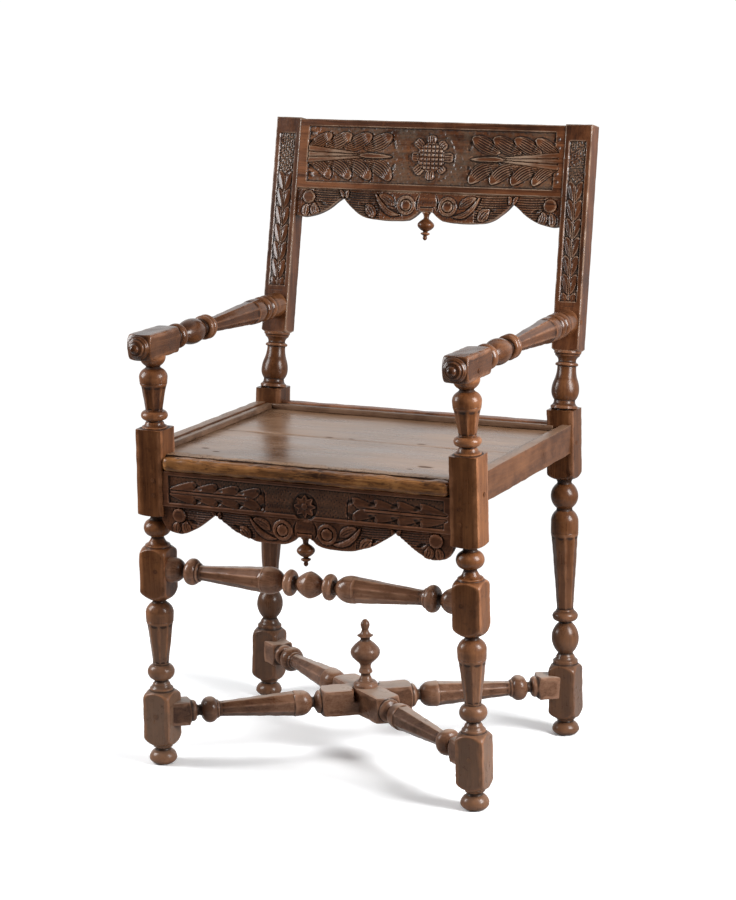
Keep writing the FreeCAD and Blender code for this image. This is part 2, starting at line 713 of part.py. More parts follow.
def make_strips():
    strips = {}
    near = side_inner - strip_width
    for name, side in sides:
        low, high = sorted((side * side_inner, side * near))
        body = box(low, high, half, rear_inner, seat_top, rail_top)
        strips["seat_strip_" + name] = rounded_strip(
            body, lambda centre: abs(centre.x) < side_inner - strip_width / 2
            and abs(centre.y - post_depth / 2) < half)
    body = box(-near, near, rear_inner - strip_width, rear_inner, seat_top, rail_top)
    strips["seat_strip_rear"] = rounded_strip(
        body, lambda centre: centre.y < rear_inner - strip_width / 2 and abs(centre.x) < half)
    return strips


# pegs: each runs from a visible face through the post and its tenon

def post_front(side, height, inset):
    below = front_top - height
    return V(side * (post_spacing / 2 + front_splay * below - inset), front_lean * below - half, height)


def post_rear(side, height, inset):
    below = rear_top - height
    return V(side * (post_spacing / 2 + rear_splay * below - inset), post_depth - rear_lean * below + half,
             height)


def peg_places(side):
    """Name of the group, start on the visible face, direction and depth."""
    deep = block * peg_depth_share
    ahead, behind, inward = V(zero, 1, zero), V(zero, -1, zero), V(-side, zero, zero)
    rows = []
    for share in rail_peg_share:
        spot = post_front(side, front_low + front_rail_height * share, zero)
        spot.x = side * (post_spacing / 2 - half * rail_peg_inset_share)
        rows.append(("pegs_front_rail", spot, ahead, deep))
    rows.append(("pegs_front_stretcher",
                 post_front(side, front_stretcher_height, half * stretcher_peg_share), ahead, deep))
    rows.append(("pegs_cross_stretchers", post_front(side, cross_height, zero), ahead, deep))
    rows.append(("pegs_cross_stretchers", post_rear(side, cross_height, zero), behind, deep))
    spot = post_rear(side, rail_top - side_rail_height * rear_peg_share, zero)
    spot.x = side * (post_spacing / 2 - half * rail_peg_inset_share)
    rows.append(("pegs_rear_rail", spot, behind, deep))
    height = rail_low + side_rail_height * side_peg_share
    offset = half * side_peg_offset_share
    for spot, shift in ((post_front(side, height, -half), half + offset),
                        (post_rear(side, height, -half), -half - offset)):
        rows.append(("pegs_side_rails", spot + V(zero, shift, zero), inward, deep))
    for share in crest_peg_share:
        place = crest_low + crest_height * share
        across = side * (back_span + half * crest_peg_inset_share + back_inward * (back_length - place))
        rows.append(("pegs_crest_rail", back_frame.multVec(V(across, back_half, place)),
                     back_tilt.multVec(behind), back_post_depth * peg_depth_share))
    spot = V(arm_across(side) + side * arm_half, -front_lean * (arm_height - front_top),
             arm_height - arm_half * arm_peg_share)
    rows.append(("pegs_arms", spot, inward, arm_block * peg_depth_share))
    across = side * (post_spacing / 2 - back_inward * (arm_height - rear_top) + half)
    rows.append(("pegs_arms", V(across, arm_end + arm_tenon_length * arm_tenon_peg_share, arm_height),
                 inward, deep))
    return rows


def add_pegs(nodes):
    groups = {}
    solids = list(nodes)
    for name, side in sides:
        for group, spot, way, depth in peg_places(side):
            start = spot - way * peg_proud
            body = rod(peg_radius, depth + peg_proud, start, way)
            hole = rod(peg_radius + tight_fit, depth + peg_proud + tight_fit, start, way)
            groups.setdefault(group, []).append(body)
            for solid in solids:
                if nodes[solid].BoundBox.intersect(hole.BoundBox):
                    nodes[solid] = nodes[solid].cut(hole)
    for group, bodies in groups.items():
        nodes[group] = Part.makeCompound(bodies)


# pieces meet the posts: shoulders are scribed to the post faces, then tenons are added

def scribed(shape, posts, tenon=None):
    for post in posts.values():
        if post.BoundBox.intersect(shape.BoundBox):
            shape = shape.cut(post)
    shape = largest(shape)
    return largest(shape.fuse(tenon)) if tenon else shape


def mortised(posts):
    floor = box(-post_spacing, post_spacing, -post_depth, post_depth * 2, -block, zero)
    tools = [floor, stretcher_rod(end_gap), placed(crest_tenon(slide_fit, end_gap), back_frame)]
    tools += [placed(cross_tenon_bar(slide_fit, end_gap), cross_spot(side)) for side in (1, -1)]
    tools += [rail_tenon(name, slide_fit, end_gap) for name in ("front", "rear", "left", "right")]
    out = {}
    for name, shape in posts.items():
        for tool in tools:
            if tool.BoundBox.intersect(shape.BoundBox):
                shape = shape.cut(tool)
        out[name] = largest(shape)
    return out


def make_chair():
    posts, spots = make_posts()
    nodes = {}
    rail, valance, drop, cuts = make_front_panel()
    rail = scribed(rail, posts, rail_tenon("front", zero, zero))
    for cut in cuts:
        rail = rail.cut(cut)
    nodes["front_seat_rail"] = rail
    nodes["front_valance"] = scribed(valance, posts)
    nodes["front_drop"] = drop
    rear = box(-post_spacing / 2, post_spacing / 2, rear_inner, rear_inner + side_rail_thick,
               rail_low, rail_top)
    nodes["rear_seat_rail"] = scribed(rear, posts, rail_tenon("rear", zero, zero)).cut(rear_slot())
    for name, side in sides:
        low, high = sorted((side * side_face, side * side_inner))
        rail = scribed(box(low, high, zero, post_depth, rail_low, rail_top), posts,
                       rail_tenon(name, zero, zero))
        nodes["side_seat_rail_" + name] = rail.cut(side_slot())
    rail, valance, drop = make_crest()
    nodes["crest_rail"] = scribed(rail, posts, placed(crest_tenon(zero, zero), back_frame))
    nodes["crest_valance"] = scribed(valance, posts)
    nodes["crest_drop"] = drop
    nodes["seat_nosing"] = scribed(nosing_body(), posts)
    nodes["seat_plank_front"] = scribed(plank_body(nosing_back, plank_seam, False), posts)
    nodes["seat_plank_back"] = scribed(plank_body(plank_seam + plank_gap, rear_inner, True), posts)
    for name, strip in make_strips().items():
        nodes[name] = scribed(strip, posts)
    nodes["front_stretcher"] = scribed(front_stretcher_body(), posts, stretcher_rod(zero))
    for name, (bar, tenon) in make_cross_bars().items():
        nodes[name] = scribed(bar, posts, tenon)
    nodes["cross_finial"] = finial_body()
    nodes.update(make_arms(posts, spots))
    nodes.update(mortised(posts))
    add_pegs(nodes)
    return nodes


chair = make_chair()
depths = [corner.Y for shape in chair.values() for corner in shape.Vertexes]
centre = V(zero, -(min(depths) + max(depths)) / 2, zero)
for name, shape in chair.items():
    shape = shape.copy()
    shape.translate(centre)
    shape.exportStep("parts/" + name + ".step")
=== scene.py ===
import math

import bpy
import numpy as np
from mathutils import Matrix, Vector


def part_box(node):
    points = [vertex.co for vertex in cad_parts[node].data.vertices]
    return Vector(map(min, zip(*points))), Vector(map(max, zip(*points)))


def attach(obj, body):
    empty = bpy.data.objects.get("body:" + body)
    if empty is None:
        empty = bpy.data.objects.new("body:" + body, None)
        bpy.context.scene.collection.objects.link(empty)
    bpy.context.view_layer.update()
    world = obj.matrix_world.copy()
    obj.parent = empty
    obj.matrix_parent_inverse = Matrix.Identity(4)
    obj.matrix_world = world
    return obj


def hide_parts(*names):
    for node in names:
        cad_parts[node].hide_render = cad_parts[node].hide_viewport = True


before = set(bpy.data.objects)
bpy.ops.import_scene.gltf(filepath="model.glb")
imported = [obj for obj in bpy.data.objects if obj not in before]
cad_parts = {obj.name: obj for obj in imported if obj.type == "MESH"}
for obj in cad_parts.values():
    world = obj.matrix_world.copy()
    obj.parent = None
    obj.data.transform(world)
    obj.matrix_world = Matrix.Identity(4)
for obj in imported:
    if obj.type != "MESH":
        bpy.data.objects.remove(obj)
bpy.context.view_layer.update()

# Turned open armchair in waxed walnut. Lengths are in millimetres until a piece
# is set in its place, which brings it to metres; the sitter faces -Y.
METRE = 1000.0

# posts
post_spacing = 520.0
post_depth = 406.3
block = 45.0
half = block / 2
front_splay = 0.0125
front_lean = 0.0197
rear_splay = 0.0228
rear_lean = 0.026
back_rake = 0.193
back_inward = 0.0078
front_top = 544.5
rear_top = 538.0
vase_length = 92.0
back_length = 452.0
back_post_depth = 33.0
back_panel_border = 8.0
back_panel_bottom = 170.0
back_panel_top = 426.0
back_leaf_pitch = 29.5
back_chain = 190.0
panel_sink = 2.5
panel_wear = {"sag": 0.12, "wear": 0.2, "angle": 40, "passes": 9, "reach": 0.4}

# arms
arm_block = 40.0
arm_height = 676.0
arm_front = 46.0
arm_block_length = 97.0
arm_radius = 21.0
arm_button = 19.0

# crest and valances
crest_height = 115.0
crest_below_top = 2.0
crest_thick = 24.0
crest_setback = 1.5
crest_border = 11.0
crest_end_border = 15.0
crest_sink = 3.0
valance_thick = 14.0
valance_drop = 48.0
front_valance_drop = 42.0
carving_shift = 4.0
crest_leaf_start = 69.5
crest_leaf_pitch = 36.6
crest_leaf_sizes = (1.0, 1.0, 0.97, 0.84)
flower_reach = 45.0
flower_disc = 24.5
flower_stud = 6.9

# seat
rail_top = 516.5
side_rail_height = 46.0
side_rail_thick = 18.0
side_rail_setback = 1.5
rear_rail_setback = 9.0
strip_width = 13.0
strip_height = 11.5
seat_thick = 23.0
seat_front = 24.5
nosing_width = 17.0
nosing_round = 8.0
strip_below_rail = {"left": 2.2, "right": 6.5}
rail_entry = 4.0
plank_seam = 198.0
front_rail_height = 56.0
front_rail_thick = 22.0
front_rail_setback = 4.0
front_border = 6.0
front_end_border = 8.0
front_sink = 2.5
front_leaf_start = 76.0
front_leaf_pitch = 36.5
rosette_reach = 22.0
rosette_button = 5.0

# stretchers
front_stretcher_height = 320.0
stretcher_radius = 21.2
cross_height = 82.0
cross_block = 42.0
cross_block_length = 148.0
housing_depth = 1.0
housing_ease = 3.5
finial_height = 111.0
finial_radius = 24.0
drop_radius = 14.0
drop_length = 46.0

seat_top = rail_top - strip_height
seat_under = seat_top - seat_thick
nosing_back = -seat_front + nosing_width
corner_radius = half * 1.48
back_half = back_post_depth / 2
facet_share = 0.985
spin_steps = 96

# Turning rows: place along the section, radius, and for a round stretch the radius half-way
front_foot_share = [
    (0.00, 0.58), (0.26, 0.985, 0.89), (0.71, 0.56, 0.91), (0.80, 0.49), (0.88, 0.53),
    (0.88, 0.68), (1.00, 0.72)]
front_baluster_share = [
    (0.00, 0.83), (0.025, 0.83), (0.075, 0.60, 0.66), (0.10, 0.46), (0.115, 0.46),
    (0.285, 0.54, 0.94), (0.305, 0.58), (0.745, 0.93), (0.76, 0.96), (0.86, 0.985),
    (0.965, 0.52, 0.88), (0.985, 0.45), (1.00, 0.52)]
front_facet_share = (0.305, 0.58, 0.745, 0.93)
front_ball_share = [
    (0.00, 0.88), (0.06, 0.88), (0.20, 0.53, 0.62), (0.27, 0.44), (0.33, 0.46),
    (0.84, 0.53, 0.95), (0.92, 0.45), (1.00, 0.55)]
arm_baluster_share = [
    (0.00, 0.89), (0.025, 0.89), (0.08, 0.64, 0.68), (0.10, 0.54), (0.115, 0.55),
    (0.245, 0.57, 0.92), (0.265, 0.60), (0.615, 0.91), (0.63, 0.94), (0.72, 0.975),
    (0.84, 0.58, 0.90), (0.865, 0.47), (0.885, 0.53), (1.00, 0.90, 0.81)]
arm_support_facet_share = (0.265, 0.60, 0.615, 0.91)
rear_foot_share = [
    (0.00, 0.60), (0.26, 0.99, 0.90), (0.76, 0.56, 0.91), (0.87, 0.52), (0.87, 0.66),
    (1.00, 0.70)]
rear_baluster_share = [
    (0.00, 0.90), (0.02, 0.90), (0.045, 0.66, 0.72), (0.055, 0.55), (0.062, 0.55),
    (0.225, 0.46, 0.985), (0.235, 0.45), (0.285, 0.72, 0.93), (0.298, 0.60), (0.70, 0.97),
    (0.71, 0.985), (0.78, 0.985), (0.832, 0.58, 0.88), (0.845, 0.56), (0.975, 0.52, 0.985),
    (0.985, 0.50), (1.00, 0.60)]
rear_facet_share = (0.298, 0.60, 0.70, 0.97)
vase_share = [
    (0.00, 0.97), (0.05, 0.97), (0.12, 0.76, 0.80), (0.15, 0.74), (0.31, 0.985, 0.93),
    (0.52, 0.82, 0.95), (0.72, 0.67, 0.71), (0.74, 0.67), (0.75, 0.80), (0.79, 0.80, 0.82),
    (0.81, 0.64), (0.88, 0.70, 0.64), (0.92, 0.88, 0.77), (0.955, 0.90), (0.96, 0.97),
    (1.00, 0.98)]
arm_share = [
    (0.00, 0.70), (0.035, 0.70), (0.082, 0.70, 0.95), (0.088, 0.52), (0.105, 0.50),
    (0.272, 0.52, 0.96), (0.285, 0.60), (0.313, 0.70, 0.93), (0.342, 0.64, 0.93), (0.355, 0.56),
    (0.365, 0.57), (0.745, 0.98), (0.790, 0.99), (0.823, 0.76, 0.94), (0.830, 0.76),
    (0.872, 0.82, 1.00), (0.880, 0.82), (0.920, 0.88, 1.00), (0.940, 0.93), (1.00, 0.97)]
arm_facet_share = (0.365, 0.57, 0.745, 0.98)
button_share = [
    (0.00, 0.10), (0.15, 0.29, 0.23), (0.30, 0.37, 0.35), (0.38, 0.34), (0.48, 0.58, 0.42),
    (0.56, 0.66), (0.63, 0.66), (0.70, 0.80, 0.71), (0.80, 0.84), (0.86, 0.90),
    (1.00, 0.93, 0.93)]
stretcher_share = [
    (0.00, 0.99), (0.088, 0.40, 0.80), (0.10, 0.36), (0.112, 0.50), (0.164, 0.50, 0.97),
    (0.176, 0.36), (0.186, 0.40), (0.290, 1.00, 0.88), (0.320, 0.98), (0.775, 0.56),
    (0.782, 0.56), (0.790, 0.72), (0.802, 0.72), (0.880, 0.42, 0.99), (0.895, 0.34),
    (0.905, 0.40), (0.965, 0.92, 0.78), (1.00, 0.96)]
stretcher_facet_share = (0.320, 0.98, 0.775, 0.56)
cross_share = [
    (0.00, 0.90), (0.012, 0.90), (0.030, 0.66, 0.84), (0.045, 0.40), (0.058, 0.42),
    (0.125, 0.97, 0.86), (0.165, 1.00), (0.170, 0.98), (0.630, 0.58), (0.638, 0.58),
    (0.645, 0.70), (0.655, 0.70), (0.748, 0.44, 0.99), (0.765, 0.38), (0.780, 0.46),
    (0.800, 0.82, 0.76), (0.812, 0.82), (0.820, 0.94), (0.835, 1.45, 1.20)]
cross_facet_share = (0.170, 0.98, 0.630, 0.58)
finial_share = [
    (0.00, 0.80), (0.035, 0.82), (0.075, 0.66, 0.76), (0.12, 0.42, 0.46), (0.16, 0.32),
    (0.19, 0.32), (0.21, 0.46), (0.24, 0.44, 0.46), (0.28, 0.36), (0.35, 0.44, 0.37),
    (0.435, 0.84, 0.65), (0.585, 0.84, 0.985), (0.68, 0.37, 0.64), (0.70, 0.30), (0.73, 0.34),
    (0.76, 0.56), (0.83, 0.24, 0.32), (0.85, 0.22), (0.93, 0.31, 0.29), (1.00, 0.08, 0.24)]
drop_share = [
    (0.00, 0.48), (0.05, 0.50), (0.11, 0.34, 0.38), (0.21, 0.29), (0.25, 0.38),
    (0.37, 0.86, 0.66), (0.55, 0.86, 0.99), (0.67, 0.30, 0.66), (0.71, 0.25), (0.74, 0.54),
    (0.78, 0.54), (0.84, 0.20), (0.93, 0.26, 0.25), (1.00, 0.06, 0.20)]
crest_edge_share = [
    (1.00, 0.84), (0.91, 1.00, 0.96), (0.80, 0.86, 0.95), (0.70, 0.57, 0.74),
    (0.62, 0.27, 0.40), (0.53, 0.70, 0.52), (0.38, 0.98, 0.92), (0.22, 1.00, 1.01),
    (0.13, 0.96, 0.99), (0.05, 0.66, 0.84), (0.00, 0.66)]
front_edge_share = [
    (1.00, 0.55), (0.96, 0.90, 0.76), (0.86, 1.00, 0.98), (0.74, 0.68, 0.88),
    (0.62, 0.15, 0.42), (0.53, 0.52, 0.36), (0.40, 0.86, 0.74), (0.30, 1.00, 0.96),
    (0.15, 0.99, 1.01), (0.08, 0.86, 0.95), (0.035, 0.66, 0.74), (0.00, 0.66)]

# Sections from the floor up: length, turning rows or the four shoulder shares of a block,
# ends of the eight flats, scored rings
front_sections = (
    (31.0, front_foot_share, None, ()),
    (90.0, (0.74, 0.75, 0.83, 0.62), None, ()),
    (149.0, front_baluster_share, front_facet_share, (0.768, 0.30)),
    (86.0, (0.60, 0.80, 0.88, 0.60), None, ()),
    (51.0, front_ball_share, None, ()),
    (137.5, (0.62, 0.18, 1.30, 0.03), None, ()),
    (110.5, arm_baluster_share, arm_support_facet_share, (0.645, 0.258)))
rear_sections = (
    (27.0, rear_foot_share, None, ()),
    (91.0, (0.74, 0.70, 0.90, 0.66), None, ()),
    (306.0, rear_baluster_share, rear_facet_share, (0.715, 0.291)),
    (114.0, (0.64, 0.54, 1.36, 0.03), None, ()))


# ---- modelling helpers

def open_all(piece, choose="SELECT"):
    bpy.ops.object.select_all(action="DESELECT")
    bpy.context.view_layer.objects.active = piece
    piece.select_set(True)
    bpy.ops.object.mode_set(mode="EDIT")
    bpy.ops.mesh.select_all(action=choose)


def close():
    bpy.ops.object.mode_set(mode="OBJECT")


def where(piece):
    flat = np.empty(len(piece.data.vertices) * 3)
    piece.data.vertices.foreach_get("co", flat)
    return flat.reshape(-1, 3)


def move_to(piece, spots):
    piece.data.vertices.foreach_set("co", np.asarray(spots, float).ravel())
    piece.data.update()


def facing(piece):
    flat = np.empty(len(piece.data.vertices) * 3)
    piece.data.vertex_normals.foreach_get("vector", flat)
    return flat.reshape(-1, 3)


def named(name):
    piece = bpy.context.object
    piece.name = name
    piece.data.name = name
    return piece


def copied(piece, name):
    other = piece.copy()
    other.data = piece.data.copy()
    bpy.context.scene.collection.objects.link(other)
    other.name = name
    other.data.name = name
    return other


def joined(name, pieces):
    bpy.ops.object.select_all(action="DESELECT")
    for piece in pieces:
        piece.select_set(True)
    bpy.context.view_layer.objects.active = pieces[0]
    bpy.ops.object.join()
    return named(name)


def mended(piece, gap=0.01):
    open_all(piece)
    bpy.ops.mesh.remove_doubles(threshold=gap)
    bpy.ops.mesh.normals_make_consistent(inside=False)
    close()
    return piece


def waves(spots, size, seed, count=9):
    """A smooth, repeatable unevenness between about -1 and 1, with bumps of one size."""
    pick = np.random.RandomState(seed)
    total = np.zeros(len(spots))
    for _ in range(count):
        way = pick.normal(size=3)
        way /= np.linalg.norm(way)
        pitch = 2 * math.pi / (size * pick.uniform(0.7, 1.6))
        total += np.sin(spots @ way * pitch + pick.uniform(0, 2 * math.pi))
    return total / math.sqrt(count / 2) / 1.6


def hollows(piece, passes=8, reach=0.5):
    """How far each point lies in a hollow (above zero) or on an edge (below zero)."""
    spots = where(piece)
    pairs = np.empty(len(piece.data.edges) * 2, int)
    piece.data.edges.foreach_get("vertices", pairs)
    a, b = pairs.reshape(-1, 2).T
    count = len(spots)
    weight = 1 / np.maximum(np.linalg.norm(spots[a] - spots[b], axis=1), 0.05)
    share = np.bincount(a, weight, count) + np.bincount(b, weight, count)
    share = np.maximum(share, 1e-6)
    soft = spots.copy()
    for _ in range(passes):
        mean = np.empty_like(soft)
        for axis in range(3):
            line = soft[:, axis]
            mean[:, axis] = (np.bincount(a, weight * line[b], count)
                             + np.bincount(b, weight * line[a], count))
        soft += 0.6 * (mean / share[:, None] - soft)
    depth = np.einsum("ij,ij->i", soft - spots, facing(piece))
    return np.clip(depth / reach, -1, 1)


def mark(piece, name, values):
    layer = piece.data.attributes.new(name, "FLOAT", "POINT")
    layer.data.foreach_set("value", np.asarray(values, float))


def aged(piece, seed, sag=0.22, wear=0.45, angle=32, passes=8, reach=0.5):
    """Uneven hand work, rubbed edges, and the shading marks that the finishes read."""
    spots = where(piece)
    bend = waves(spots, 34, seed) * sag
    edge = np.maximum(-hollows(piece, 5), 0)
    rub = edge * wear * np.clip(0.35 + 0.9 * waves(spots, 15, seed + 5), 0, 1.4)
    normal = facing(piece)
    move_to(piece, spots + normal * (bend - rub)[:, None])
    shade = hollows(piece, passes, reach)
    sunk = piece.data.attributes.get("sunk")
    if sunk:
        depth = np.empty(len(spots))
        sunk.data.foreach_get("value", depth)
        shade[depth < 0] = 0
    mark(piece, "hollow", shade)
    open_all(piece)
    close()
    bpy.ops.object.shade_smooth_by_angle(angle=math.radians(angle))
    return piece


def settle(piece, place):
    """Puts a millimetre piece where it belongs, in metres."""
    piece.data.transform(Matrix.Scale(1 / METRE, 4) @ into_row @ place)
    piece.data.update()
    return piece


def turned_to(way, spot):
    spin = Vector((0, 0, 1)).rotation_difference(Vector(way)).to_matrix().to_4x4()
    return Matrix.Translation(Vector(spot)) @ spin


nosing_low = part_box("seat_nosing")[0]
into_row = Matrix.Translation(Vector((0, nosing_low.y * METRE + seat_front, 0)))


# ---- turning on the lathe

def scaled(rows, start, length, radius):
    return [(start + p * length, r * radius, m[0] * radius if m else 0) for p, r, *m in rows]


def shoulders(start, length, low, rise, high, fall):
    return [(start, low, 0), (start + rise, corner_radius, (low + corner_radius * 2) / 3),
            (start + length - fall, corner_radius, 0),
            (start + length, high, (high + corner_radius * 2) / 3)]


def arc_between(a, through, b, step):
    (ax, ay), (mx, my), (bx, by) = a, through, b
    d = 2 * (ax * (my - by) + mx * (by - ay) + bx * (ay - my))
    if abs(d) < 1e-9:
        return [b]
    sa, sm, sb = ax * ax + ay * ay, mx * mx + my * my, bx * bx + by * by
    cx = (sa * (my - by) + sm * (by - ay) + sb * (ay - my)) / d
    cy = (sa * (bx - mx) + sm * (ax - bx) + sb * (mx - ax)) / d
    radius = math.hypot(ax - cx, ay - cy)
    start = math.atan2(ay - cy, ax - cx)
    middle = math.atan2(my - cy, mx - cx)
    end = math.atan2(by - cy, bx - cx)
    full = (end - start) % (2 * math.pi)
    part = (middle - start) % (2 * math.pi)
    if part > full:
        full -= 2 * math.pi
    count = max(3, int(abs(full) * radius / step))
    return [(cx + radius * math.cos(start + full * i / count),
             cy + radius * math.sin(start + full * i / count)) for i in range(1, count + 1)]


def outline(rows, fine=1.1, coarse=3.2):
    """Radius and height along a turning, with every round stretch drawn as its arc."""
    line = [(rows[0][1], rows[0][0])]
    for place, radius, middle in rows[1:]:
        last = line[-1]
        here = (radius, place)
        run = math.hypot(here[0] - last[0], here[1] - last[1])
        if run < 1e-6:
            continue
        if middle:
            line += arc_between(last, (middle, (last[1] + place) / 2), here, fine)
        else:
            count = max(1, int(run / coarse))
            line += [(last[0] + (here[0] - last[0]) * i / count,
                      last[1] + (here[1] - last[1]) * i / count) for i in range(1, count + 1)]
    return eased(line)


def eased(line, ease=0.45):
    """Breaks each sharp turn of the outline, as a rag does on the lathe."""
    out = [line[0]]
    for before, here, after in zip(line, line[1:], line[2:]):
        a = Vector((here[0] - before[0], here[1] - before[1]))
        b = Vector((after[0] - here[0], after[1] - here[1]))
        if a.length > 1e-6 and b.length > 1e-6 and a.angle(b) > 0.35:
            near = min(ease, a.length * 0.4)
            far = min(ease, b.length * 0.4)
            out.append((here[0] - a.x / a.length * near, here[1] - a.y / a.length * near))
            out.append((here[0] + b.x / b.length * far, here[1] + b.y / b.length * far))
        else:
            out.append(here)
    return out + [line[-1]]


def spun(name, line):
    """Draws the outline by extruding one point along it, and spins it round Z."""
    bpy.ops.object.select_all(action="DESELECT")
    bpy.ops.mesh.primitive_plane_add(size=1)
    piece = named(name)
    open_all(piece)
    bpy.ops.mesh.merge(type="CENTER")
    path = [(0.0, line[0][1])] + line + [(0.0, line[-1][1])]
    last = (0.0, 0.0)
    for step, (radius, height) in enumerate(path):
        shift = (radius - last[0], 0, height - last[1])
        if step:
            bpy.ops.mesh.extrude_vertices_move(TRANSFORM_OT_translate={"value": shift})
        else:
            bpy.ops.transform.translate(value=shift)
        last = (radius, height)
    bpy.ops.mesh.select_all(action="SELECT")
    bpy.ops.mesh.spin(steps=spin_steps, angle=2 * math.pi, center=(0, 0, 0), axis=(0, 0, 1))
    close()
    return mended(piece, 0.002)


def planed(piece, low, high, width, arris=22):
    """Planes a length of the turning square; the arrises stay a little rounded."""
    spots = where(piece)
    chosen = (spots[:, 2] > low - 0.01) & (spots[:, 2] < high + 0.01)
    x, y = spots[chosen, 0], spots[chosen, 1]
    radius = np.maximum(np.hypot(x, y), 1e-6)
    c, s = np.abs(x / radius), np.abs(y / radius)
    limit = width / (c ** arris + s ** arris) ** (1 / arris)
    new = (radius ** -40 + limit ** -40) ** (-1 / 40)
    new = np.minimum(new, radius)
    spots[chosen, 0] *= new / radius
    spots[chosen, 1] *= new / radius
    move_to(piece, spots)


def faceted(piece, start, length, radius, taper):
    """Planes eight flats on a tapered length of the turning."""
    low, high = start + taper[0] * length, start + taper[2] * length
    first, last = taper[1] * radius, taper[3] * radius
    spots = where(piece)
    bottom, top = min(low, high), max(low, high)
    chosen = (spots[:, 2] > bottom + 0.05) & (spots[:, 2] < top - 0.05)
    x, y, z = spots[chosen].T
    reach = np.maximum(np.hypot(x, y), 1e-6)
    size = first + (last - first) * (z - low) / (high - low)
    flat = size * facet_share * math.cos(math.pi / 8)
    turn = (np.arctan2(y, x) + math.pi / 8) % (math.pi / 4) - math.pi / 8
    limit = flat / np.cos(turn)
    new = np.minimum((reach ** -60 + limit ** -60) ** (-1 / 60), reach)
    spots[chosen, 0] *= new / reach
    spots[chosen, 1] *= new / reach
    move_to(piece, spots)


def incised(rows, places, depth=0.5, width=0.5):
    """Adds fine scored rings to straight stretches of a turning."""
    out = [rows[0]]
    for row in rows[1:]:
        last = out[-1]
        for place in places:
            if last[0] < place < row[0]:
                if row[2]:
                    continue
                share = (place - last[0]) / (row[0] - last[0])
                radius = last[1] + (row[1] - last[1]) * share
                out += [(place - width, radius, 0), (place, radius - depth, 0),
                        (place + width, radius, 0)]
        out.append(row)
    return out


# ---- the turned pieces

def post(name, top, sections, stub=0.0):
    """A post squared and turned in one length, its top at zero."""
    rows, rings, level = [], [], 0.0
    for length, shares, flats, scored in sections:
        if isinstance(shares, tuple):
            rows += shoulders(level, length, *(half * share for share in shares))
        else:
            rows += scaled(shares, level, length, half)
        rings += [level + length * share for share in scored]
        level += length
    if stub:
        rows.append((level + stub, rows[-1][1], 0))
    piece = spun(name, outline(incised(rows, rings)))
    level = 0.0
    for length, shares, flats, scored in sections:
        if isinstance(shares, tuple):
            planed(piece, level, level + length, half)
        elif flats:
            faceted(piece, level, length, half, flats)
        level += length
    piece.data.transform(Matrix.Translation((0, 0, -top)))
    return piece


def back_vase():
    rows = [(-half * 0.3, half * 0.6, 0), (0, half * 0.6, 0)]
    rows += scaled(vase_share, 0, vase_length, half)
    rows.append((vase_length + 1, half * 0.9, 0))
    return spun("back_vase", outline(rows))


def arm():
    block_half = arm_block / 2
    run_end = post_depth + back_rake * (arm_height - rear_top) - back_half
    free = run_end - (arm_block_length - arm_front)
    rows = scaled(button_share, -arm_block_length - arm_button, arm_button, block_half)
    rows += shoulders(-arm_block_length, arm_block_length, block_half * 0.93, block_half * 0.62,
                      block_half * 0.74, block_half * 0.70)
    rows += scaled(arm_share, 0, free, arm_radius)
    rows.append((free + 9, arm_radius * 0.97, 0))
    piece = spun("arm", outline(incised(rows, [free * 0.752, free * 0.358])))
    planed(piece, -arm_block_length, 0, block_half, arris=12)
    faceted(piece, 0, free, arm_radius, arm_facet_share)
    return piece


def mirrored_line(line):
    return [(radius, -height) for radius, height in reversed(line) if height > 1e-6] + line


def front_stretcher():
    run = post_spacing / 2 - half + front_splay * (front_top - front_stretcher_height)
    rows = scaled(stretcher_share, 0, run, stretcher_radius)
    rows.append((run + 5, stretcher_radius * 0.96, 0))
    rows = incised(rows, [run * 0.312, run * 0.34])
    piece = spun("stretcher_front", mirrored_line(outline(rows)))
    for side in (1, -1):
        faceted(piece, 0, side * run, stretcher_radius, stretcher_facet_share)
    return piece


def cross_stretcher():
    """One of the two diagonals, with its heading and the place of the crossing."""
    fore, aft = front_top - cross_height, rear_top - cross_height
    foot = (post_spacing / 2 + front_splay * fore, front_lean * fore)
    heel = (post_spacing / 2 + rear_splay * aft, post_depth - rear_lean * aft)
    middle_x = (foot[0] + heel[0]) / 2
    reach_y = (heel[1] - foot[1]) / 2
    reach = math.hypot(middle_x, reach_y)
    size = cross_block / 2
    block_end = cross_block_length / 2
    run = reach - block_end
    rows = shoulders(-block_end, cross_block_length, size * 0.90, size * 0.45,
                     size * 0.90, size * 0.45)
    rows = [(0, corner_radius, 0)] + rows[2:]
    rows += scaled(cross_share, block_end, run, size)
    end = block_end + cross_share[-1][0] * run
    rows += [(end, corner_radius, 0), (reach - half / 2, corner_radius, 0)]
    rows = incised(rows, [block_end + run * 0.178, block_end + run * 0.21])
    piece = spun("cross_stretcher", mirrored_line(outline(rows)))
    planed(piece, -block_end, block_end, size, arris=26)
    for side in (1, -1):
        ends = sorted((side * (end - run * 0.025), side * (reach + half)))
        planed(piece, ends[0], ends[1], size * 0.90, arris=14)
        faceted(piece, side * block_end, side * run, size, cross_facet_share)
    return piece, math.degrees(math.atan2(reach_y, middle_x)), (foot[1] + heel[1]) / 2


# ---- boards

